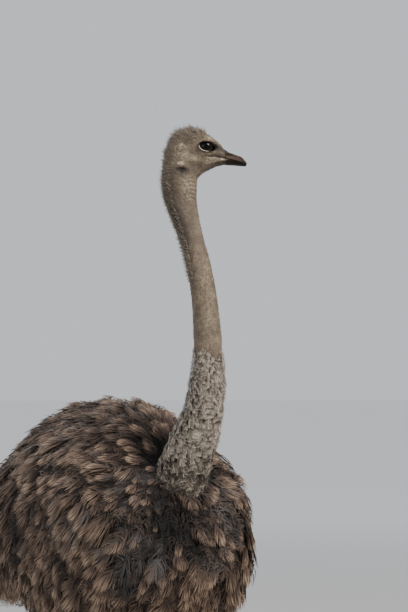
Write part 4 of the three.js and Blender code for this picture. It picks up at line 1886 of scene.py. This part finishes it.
def under_shade(points: Array) -> Array:
    """The under layer of plumes gets painted shade everywhere, as it lies under the vanes, and most in the folds."""
    return 0.6 + in_fold(points)


def upper_shade(points: Array) -> Array:
    """The fringes of the upper layer are fainter on the back and dark here and there, and painted shade darkens them
    in the folds.
    """
    here_and_there = 0.25 * step(1060, 1160, points[:, 2]) + 0.3 * ripple(points, 75.0, 23)
    return np.clip(here_and_there, 0, 1) + 1.4 * in_fold(points)


@dataclass
class Patch:
    """A stretch of a surface that feathers grow from.

    root is how deep they are rooted and tip how far their tips lie under the outline, in millimetres.
    No tip goes further forward than front.
    """

    surface: Surface
    u: Pair
    v: Pair
    root: float
    length: Field
    heading: Lie
    tip: float = 4.0
    cells: tuple[int, int] = (40, 60)
    keep: Field | None = None
    lobes: Lobes | None = None
    strength: Field = lambda points: np.ones(len(points))
    shade: Field = no_shade
    hollows: Sequence[Sequence[float]] = ()
    hollow: float = 16.0
    swirl: float = 0.2
    front: float = -1000.0
    seed: int = 1

    def uncut(self, start: Array, end: Array) -> Array:
        """How much of each feather stays where the plumage falls open: it ends where it would cover a hollow.

        Args:
            start: the outline over the roots.
            end: the outline over the tips.

        Returns:
            A share of its length, from 0.3 to 1.
        """
        way = end - start
        long = np.maximum(np.linalg.norm(way, axis=1), 1e-6)
        kept = np.ones(len(start))
        for centre in self.hollows:
            toward = np.array(centre, float) - start
            ahead = np.sum(toward * way, axis=1) / long
            aside = np.linalg.norm(toward - way * (ahead / long)[:, None], axis=1)
            enters = (ahead - np.sqrt(np.maximum(0, self.hollow ** 2 - aside ** 2))) / long
            kept = np.where((aside < self.hollow) & (enters > 0.3), np.minimum(kept, enters), kept)
        return kept

    def object(self, name: str) -> Thing:
        """Makes the patch with its directions, lengths and places on the map.

        Args:
            name: its name.

        Returns:
            The patch.
        """
        across = np.linspace(*self.u, self.cells[0])
        along = np.linspace(*self.v, self.cells[1])
        u, v = (grid.ravel() for grid in np.meshgrid(across, along))
        outline = self.surface.point(u, v)
        normal = self.surface.tangents(u, v)[2]
        length = self.length(outline) * (1 + 0.1 * ripple(outline * MM, 0.11, self.seed + 5))
        around = np.stack([ripple(outline * MM, 0.16, self.seed + k) for k in range(3)], 1) * self.swirl

        def heading(points: Array, normals: Array) -> Array:
            """The lie of the feathers with its swirls."""
            return unit(self.heading(points, normals)) + around

        roots = outline - normal * self.root
        reached = self.surface.walk(u, v, heading, length)
        roots[:, 1] = np.maximum(roots[:, 1], self.front + self.root - 5)
        reached[:, 1] = np.maximum(reached[:, 1], self.front)
        tips = reached - normal * self.tip
        near, tone = np.ones(len(u)), np.full(len(u), 0.5)
        if self.lobes is not None:
            flow = unit(reached - outline)
            tips, near, tone = self.lobes.shape(tips, flow, normal, self.strength(reached), self.seed)
        # Painted shade: the patch's shade lowers near, which darkens the plumes.
        near = near * (1 - self.shade(outline + 0.55 * (reached - outline)))
        reach = tips - roots
        size = np.clip(np.linalg.norm(reach, axis=1), 0.5 * length, 1.2 * length) * self.uncut(outline, reached)
        map_u = 0.02 + 0.95 * (u - self.u[0]) / (self.u[1] - self.u[0])
        map_v = 0.02 + 0.95 * (v - self.v[0]) / (self.v[1] - self.v[0])
        wide = self.cells[0]
        first = (np.arange(self.cells[1] - 1)[:, None] * wide + np.arange(wide - 1)).ravel()
        faces = np.stack([first, first + 1, first + wide + 1, first + wide], 1)
        if self.keep is not None:
            faces = faces[np.all(self.keep(outline)[faces], axis=1)]
        values = {
            "flow": unit(reach),
            "out": normal,
            "length": size * MM,
            "root_uv": np.stack([map_u, map_v, np.zeros(len(u))], 1),
            "near": near,
            "tone": tone,
            "slate": slatiness(reached),
        }
        return Shape(place(roots), faces.tolist(), values).object(name)


# Where slate-grey feathers show, and where the plumage falls open in dark hollows: x, y, z in the bird's axes.
SLATES = ((-182, -434, 932), (-193, -368, 1016), (-123, -475, 790), (111, -492, 927), (-198, -67, 1094),
          (-150, -409, 1040), (150, -449, 980), (-230, -189, 900), (60, -509, 800))
HOLLOWS = ((-78, -453, 1018), (-74, -479, 978), (-76, -501, 933), (-89, -512, 882), (0, -515, 911),
           (-32, -491, 961), (-88, -418, 1060), (-136, -435, 1009), (13, -519, 822), (-149, -433, 760),
           (-207, 162, 730), (-252, -9, 770), (-259, 92, 940), (146, -473, 844), (105, -479, 880),
           (-40, -524, 870), (-120, -494, 840), (60, -499, 930), (-130, -469, 900), (90, -509, 800))


def slatiness(points: Array) -> Array:
    """How slate-grey the feathers at each place are, from 0 to 1."""
    near = [np.exp(-np.sum((points - np.array(place_of, float)) ** 2, 1) / 31.0 ** 2) for place_of in SLATES]
    spots = step(0.75, 1.25, ripple(points, 210.0, 17)) * 0.4
    return np.clip(np.max(near, axis=0) + spots + 0.8 * ripple(points, 26.0, 19) * np.max(near, axis=0), 0, 0.65)


def chance_hollows(surface: Surface, count: int, along: Pair, seed: int) -> list[Sequence[float]]:
    """The centres of hollows spread by chance over a stretch of a surface."""
    chance = np.random.default_rng(seed)
    return list(surface.point(chance.uniform(-0.5, 0.5, count), chance.uniform(*along, count)))


def prototypes(name: str, shapes: Iterable[Shape]) -> bpy.types.Collection:
    """Puts feather shapes in a collection of their own, which isn't in the scene.

    Args:
        name: the collection's name.
        shapes: the feathers.

    Returns:
        The collection.
    """
    collection = bpy.data.collections.new(name)
    for index, shape in enumerate(shapes):
        feather = shape.object(f"{name}_{index}")
        bpy.context.scene.collection.objects.unlink(feather)
        collection.objects.link(feather)
    return collection


NECK_ROOT = np.array([0.0, -430.0, 1075.0])
BACK_AND_DOWN = np.array([0.0, 0.66, -0.75])


def lie_of_body(points: Array, normal: Array) -> Array:
    """Body plumes part around the root of the neck, then lie back and hang down.

    Args:
        points: places on the body.
        normal: not needed here.

    Returns:
        The wished directions.
    """
    away = points - NECK_ROOT
    share = np.exp(-(np.linalg.norm(away, axis=1) / 330) ** 2)[:, None]
    rear = step(330, 560, points[:, 1])[:, None]
    back = BACK_AND_DOWN * (1 - rear) + np.array([0.0, 0.1, -1.0]) * rear
    return unit(away) * share + back * (1 - share)


def away_from_neck(points: Array) -> Array:
    """Whether a place on the trunk is clear of the root of the neck."""
    low, high = np.array(NECK_KEYS[0][0], float), np.array(NECK_KEYS[3][0], float)
    share = np.clip(((points - low) @ (high - low)) / np.dot(high - low, high - low), 0, 1)
    nearest = low + share[:, None] * (high - low)
    return np.linalg.norm(points - nearest, axis=1) > 50


WHOLE_TURN = (-0.5, 0.5)


@dataclass(frozen=True)
class Cover:
    """A kind of feather or hair: its shapes, its finish and its slot."""

    shapes: bpy.types.Collection
    look: Material
    slot: Slot


class Coat:
    """All feathers and hairs, each piece grown by the coat tree."""

    def __init__(self) -> None:
        """Builds the tree, the feather shapes and the finishes."""
        self.tree = CoatTree()
        plumes, down, hair = PLUMES.make(), DOWN.make(), HAIR.make()
        vanes = ((0.25, 0.08), (0.3, 0.1), (0.21, 0.12), (0.27, 0.06), (0.23, 0.1))
        tuft = Plume(barbs=5, half_width=0.26, barb_width=0.05, reach=0.5, curl=0.4, arch=0.14, rib=0.02)
        self.covers = {name: Cover(prototypes(name, shapes), look, slot) for name, shapes, look, slot in (
            ("body_plume", [Plume(arch=a).shape(seed) for seed, a in enumerate(
                (0.05, 0.07, 0.09, 0.06, 0.08, 0.07, 0.05, 0.08))], plumes, Slot.PLUMAGE),
            ("vane", [Vane(half_width=w, arch=a).shape(30 + seed) for seed, (w, a) in enumerate(vanes)], plumes,
             Slot.PLUMAGE),
            ("long_plume", [Plume(half_width=0.15, barb_width=0.014, reach=0.36, arch=a).shape(60 + seed)
                            for seed, a in enumerate((0.04, 0.06, 0.08, 0.05))], plumes, Slot.PLUMAGE),
            ("down_tuft", [tuft.shape(90 + seed) for seed in range(6)], down, Slot.DOWN),
            ("crest_spike", [Spike(thick=0.055).shape(140 + seed) for seed in range(4)], hair, Slot.SKIN),
            ("hair_spike", [Spike(thick=0.045).shape(120 + seed) for seed in range(4)], hair, Slot.SKIN),
        )}
        self.hollows = [*HOLLOWS, *chance_hollows(TRUNK, 55, (0.8, 11.0), 7)]

    def grow(self, name: str, patch: Patch, cover: str, **given: object) -> None:
        """Grows one piece of the coat on a patch, with a cover and further values for the coat tree."""
        kind = self.covers[cover]
        finish(self.tree.grow(patch.object(name + "_patch"), name, Feathers=kind.shapes, Finish=kind.look,
                              Seed=patch.seed, **given), kind.slot)

    def layers(self, name: str, patch: Patch, spacing: float) -> None:
        """Grows an under layer of plumes, darkened by painted shade, and a thin upper layer of broad vanes.

        Args:
            name: their name without the layer.
            patch: where they grow, set up for the under layer.
            spacing: between plumes of the under layer, in metres.
        """
        self.grow(f"plumes_{name}", patch, "body_plume", Spacing=spacing)
        upper = replace(patch, root=34.0, tip=patch.tip - 9.0, lobes=None, hollow=34.0, shade=upper_shade,
                        seed=patch.seed + 5)
        self.grow(f"vanes_{name}", upper, "vane", Spacing=2.9 * spacing, Least_size=0.55, Most_size=1.0, Roll=0.25,
                  Lift=0.03, Turn=0.3, Tint_range=0.5)

    def body(self) -> None:
        """Plumes over the breast, back and belly."""
        def length(points: Array) -> Array:
            """Plumes are shorter by the neck and longest on the flanks."""
            away = np.linalg.norm(points - NECK_ROOT, axis=1)
            return 95 + 40 * step(120, 420, away) - 45 * step(330, 560, points[:, 1])

        breast, belly = ((8.3, 11.95), (110, 60), 0.008, 13.0), ((0.3, 8.5), (48, 120), 0.0095, -6.0)
        for index, (name, u, (v, cells, spacing, tip)) in enumerate((
            ("breast_right", (-0.5, 0.0), breast),
            ("breast_left", (0.0, 0.5), breast),
            ("back", (-0.13, 0.13), ((0.6, 8.5), (60, 120), 0.008, 13.0)),
            ("belly_right", (-0.5, -0.31), belly),
            ("belly_left", (0.31, 0.5), belly),
        )):
            patch = Patch(TRUNK, u, v, 40.0, length, lie_of_body, tip=tip, cells=cells, keep=away_from_neck,
                          lobes=Lobes(), shade=under_shade, hollows=self.hollows, front=BREAST_FRONT,
                          seed=100 + 10 * index)
            self.layers(name, patch, spacing)

    def wings(self) -> None:
        """Longer plumes over the folded wings."""
        def length(points: Array) -> Array:
            """Plumes grow longer towards the wing's lower rear edge."""
            return 112 + 45 * step(-200, 200, points[:, 1]) - 50 * step(250, 480, points[:, 1])

        for side in Side:
            for part, (low, high) in {"front": (0.07, 0.52), "rear": (0.48, 0.98)}.items():
                patch = Patch(WingPad(side), (0.06, 0.94), (low, high), 40.0, length, lie_of_body, tip=13.0,
                              cells=(60, 70), lobes=Lobes(), shade=under_shade, hollows=self.hollows,
                              front=BREAST_FRONT, seed=200 + 20 * side.value + 10 * (part == "rear"))
                self.layers(f"wing_{part}_{side.word}", patch, 0.008)

    def tail(self) -> None:
        """The drooping brush of the tail."""
        def lie(points: Array, normal: Array) -> Array:
            """Tail plumes run down the brush."""
            down = step(450, 680, points[:, 1])[:, None]
            return np.array([0.0, 0.8, -0.6]) * (1 - down) + np.array([0.0, 0.0, -1.0]) * down

        patch = Patch(TAIL, WHOLE_TURN, (0.0, 3.3), 22.0, lambda points: np.full(len(points), 140.0), lie, tip=6.0,
                      cells=(80, 50), lobes=Lobes(long=90.0, rise=6.0, gather=0.35), swirl=0.1, seed=300)
        self.grow("plumes_tail", patch, "long_plume", Spacing=0.01, Lift=0.02, Roll=0.2, Ruffle=0.003,
                  Least_size=0.6, Most_size=1.0)
        upper = replace(patch, root=18.0, tip=1.0, lobes=None, shade=upper_shade, seed=310)
        self.grow("vanes_tail", upper, "vane", Spacing=0.024, Lift=0.02, Roll=0.2, Turn=0.12, Ruffle=0.004,
                  Least_size=0.55, Most_size=0.9, Tint_range=0.5)

    def neck(self) -> None:
        """Dense short down on the lower neck, thinning to hair above the collar."""
        def hang(points: Array, normal: Array) -> Array:
            """Down hangs along the neck."""
            return np.tile(np.array([0.0, 0.1, -1.0]), (len(points), 1))

        def tuft_length(points: Array) -> Array:
            """Tufts shorten up the neck and are longest where they lie on the breast."""
            return 12 + 10 * step(1280, 1120, points[:, 2]) + 20 * step(1110, 1020, points[:, 2])

        def marked(points: Array) -> Array:
            """Down is smooth below the collar and stands in tufts at the neck's root."""
            return 0.25 + 1.0 * step(1290, 1130, points[:, 2])

        def dusk(points: Array) -> Array:
            """Down darkens towards the breast, and painted shade darkens it in the folds."""
            return 0.5 * step(1120, 1030, points[:, 2]) + 0.8 * in_fold(points)

        def below_collar(points: Array) -> Array:
            """Down ends in a ragged edge."""
            return points[:, 2] < 1338 + 12 * ripple(points, 34.0, 5)

        def hair_length(points: Array) -> Array:
            """Hair is shortest just above the collar."""
            return 4 + 4 * step(1350, 1500, points[:, 2])

        patch = Patch(SPINE, WHOLE_TURN, (0.9, COLLAR + 0.5), 6.5, tuft_length, hang, tip=-0.8, cells=(90, 120),
                      keep=below_collar, lobes=Lobes(long=18.0, half_width=8.0, apart=9.5, rise=7.0, gather=0.4),
                      strength=marked, shade=dusk, hollows=chance_hollows(SPINE, 420, (0.8, 3.8), 9), hollow=3.6,
                      swirl=0.22, seed=400)
        self.grow("down_neck", patch, "down_tuft", Spacing=0.0036, Lift=0.14, Most_per_area=300000.0, Turn=0.3,
                  Roll=0.4, Ruffle=0.0015, Ruffle_size=60.0)
        patch = Patch(SPINE, WHOLE_TURN, (COLLAR + 0.5, 11.0), 1.5, hair_length, hang, tip=-0.6, cells=(48, 140),
                      swirl=0.4, seed=430)
        self.grow("hair_neck", patch, "hair_spike", Spacing=0.0022, Most_per_area=600000.0, Lift=0.2, Turn=0.4,
                  Ruffle=0.0, Least_size=0.5, Most_size=1.3)

    def head(self) -> None:
        """Short bristles on the head, standing up on the crown and nape."""
        def stand(points: Array, normal: Array) -> Array:
            """Bristles run back over the head."""
            return np.tile(-HEAD.axes()[0] + np.array([0, 0, -0.3]), (len(points), 1))

        def clear(points: Array) -> Array:
            """Keeps bristles off the eyes, the ears and the bill."""
            head = HEAD.into(points)
            opening = OPENING.inside(head[:, 0] - EYE_FORWARD, head[:, 2] - EYE_UP)
            bare = mound(head, HeadRelief.ear, (13, 6)) > 0.4
            return ((opening < -0.35) | (np.abs(head[:, 1]) < 14)) & (head[:, 0] < 40) & ~bare

        patch = Patch(SPINE, WHOLE_TURN, (11.0, BILL_START - 0.2), 0.8, lambda points: np.full(len(points), 6.0),
                      stand, tip=-1.6, cells=(80, 120), keep=clear, swirl=0.4, seed=450)
        self.grow("hair_head", patch, "hair_spike", Spacing=0.0016, Most_per_area=900000.0, Lift=0.25, Turn=0.5,
                  Ruffle=0.0, Least_size=0.5, Most_size=1.4)

    def crest(self) -> None:
        """Long dark hairs that stand on the crown and the nape."""
        def rise(points: Array, normal: Array) -> Array:
            """Crest hairs lean back and up."""
            return np.tile(-HEAD.axes()[0] + np.array([0, 0, 0.4]), (len(points), 1))

        def length(points: Array) -> Array:
            """Crest hairs are longest on the crown."""
            return 9 + 6 * step(1825, 1850, points[:, 2])

        patch = Patch(SPINE, (-0.17, 0.17), (7.5, 17.9), 1.2, length, rise, tip=-11.0, cells=(30, 140), swirl=0.3,
                      seed=470)
        self.grow("hair_crest", patch, "crest_spike", Spacing=0.0023, Most_per_area=400000.0, Lift=0.55, Turn=0.7,
                  Ruffle=0.0, Least_size=0.6, Most_size=1.4)

    def build(self) -> None:
        """Grows every piece of the coat and removes the feather shapes."""
        for part in (self.body, self.wings, self.tail, self.neck, self.head, self.crest):
            part()
        for cover in self.covers.values():
            for thing in list(cover.shapes.objects):
                bpy.data.objects.remove(thing)
            bpy.data.collections.remove(cover.shapes)


# ---- studio


@dataclass(frozen=True)
class Studio:
    """Floor, soft light and camera."""

    camera: Triple = (-1.8548, -4.5196, 1.23)
    azimuth: float = -25.0
    tilt: float = 2.6609
    lens: float = 112.647
    floor_reach: float = 400.0

    def floor(self) -> None:
        """A plain pale floor."""
        mesh = bpy.data.meshes.new("floor")
        far = self.floor_reach
        mesh.from_pydata([(-far, -far, 0), (far, -far, 0), (far, far, 0), (-far, far, 0)], [], [(0, 1, 2, 3)])
        pale = Finish("floor", roughness=0.9, specular=0.1)
        g, where = pale.graph, pale.place
        near = g.mix(g.noise(where, 3.0, 4.0), (0.43, 0.42, 0.4, 1), (0.45, 0.44, 0.42, 1))
        pale.colour(g.mix(g.vector("LENGTH", where).ramp(3.0, 14.0), near, (0.9, 0.9, 0.9, 1)))
        mesh.materials.append(pale.material)
        shown("floor", mesh)

    def lamp(self, name: str, at: Triple, aim: Triple, size: float, power: float, tone: Triple) -> None:
        """A square soft lamp.

        Args:
            name: its name.
            at: where it is.
            aim: where it points.
            size: its width in metres.
            power: in watts.
            tone: its colour.
        """
        light = bpy.data.lights.new(name, "AREA")
        light.size = size
        light.energy = power
        light.color = tone
        lamp = shown(name, light)
        lamp.location = at
        lamp.rotation_euler = (Vector(aim) - Vector(at)).to_track_quat("-Z", "Y").to_euler()

    def build(self) -> None:
        """Sets the studio up."""
        self.floor()
        world = bpy.data.worlds.new("studio")
        world.use_nodes = True
        backdrop = world.node_tree.nodes["Background"]
        backdrop.inputs["Color"].default_value = (0.86, 0.89, 0.94, 1)
        backdrop.inputs["Strength"].default_value = 0.78
        bpy.context.scene.world = world
        self.lamp("key", (1.6, -4.4, 4.6), (0, -0.3, 1.2), 1.9, 620, (1.0, 0.95, 0.88))
        self.lamp("fill", (-4.2, -2.4, 2.4), (0, -0.2, 1.0), 3.0, 90, (0.94, 0.97, 1.0))
        self.lamp("rim", (-1.0, 4.0, 4.2), (0, 0, 1.3), 2.5, 150, (1.0, 0.98, 0.95))
        lens = bpy.data.cameras.new("camera")
        lens.lens = self.lens
        lens.sensor_width = 36.0
        lens.clip_end = 3 * self.floor_reach
        camera = shown("camera", lens)
        camera.location = Vector(self.camera) + Vector(ORIGIN)
        camera.rotation_euler = (np.radians(90 + self.tilt), 0.0, np.radians(self.azimuth))
        bpy.context.scene.camera = camera


def main() -> None:
    """Builds the bird and its studio."""
    for part in (Studio, Skin, Eyes, Bill, Claws, Coat):
        part().build()


if __name__ == "__main__":
    main()
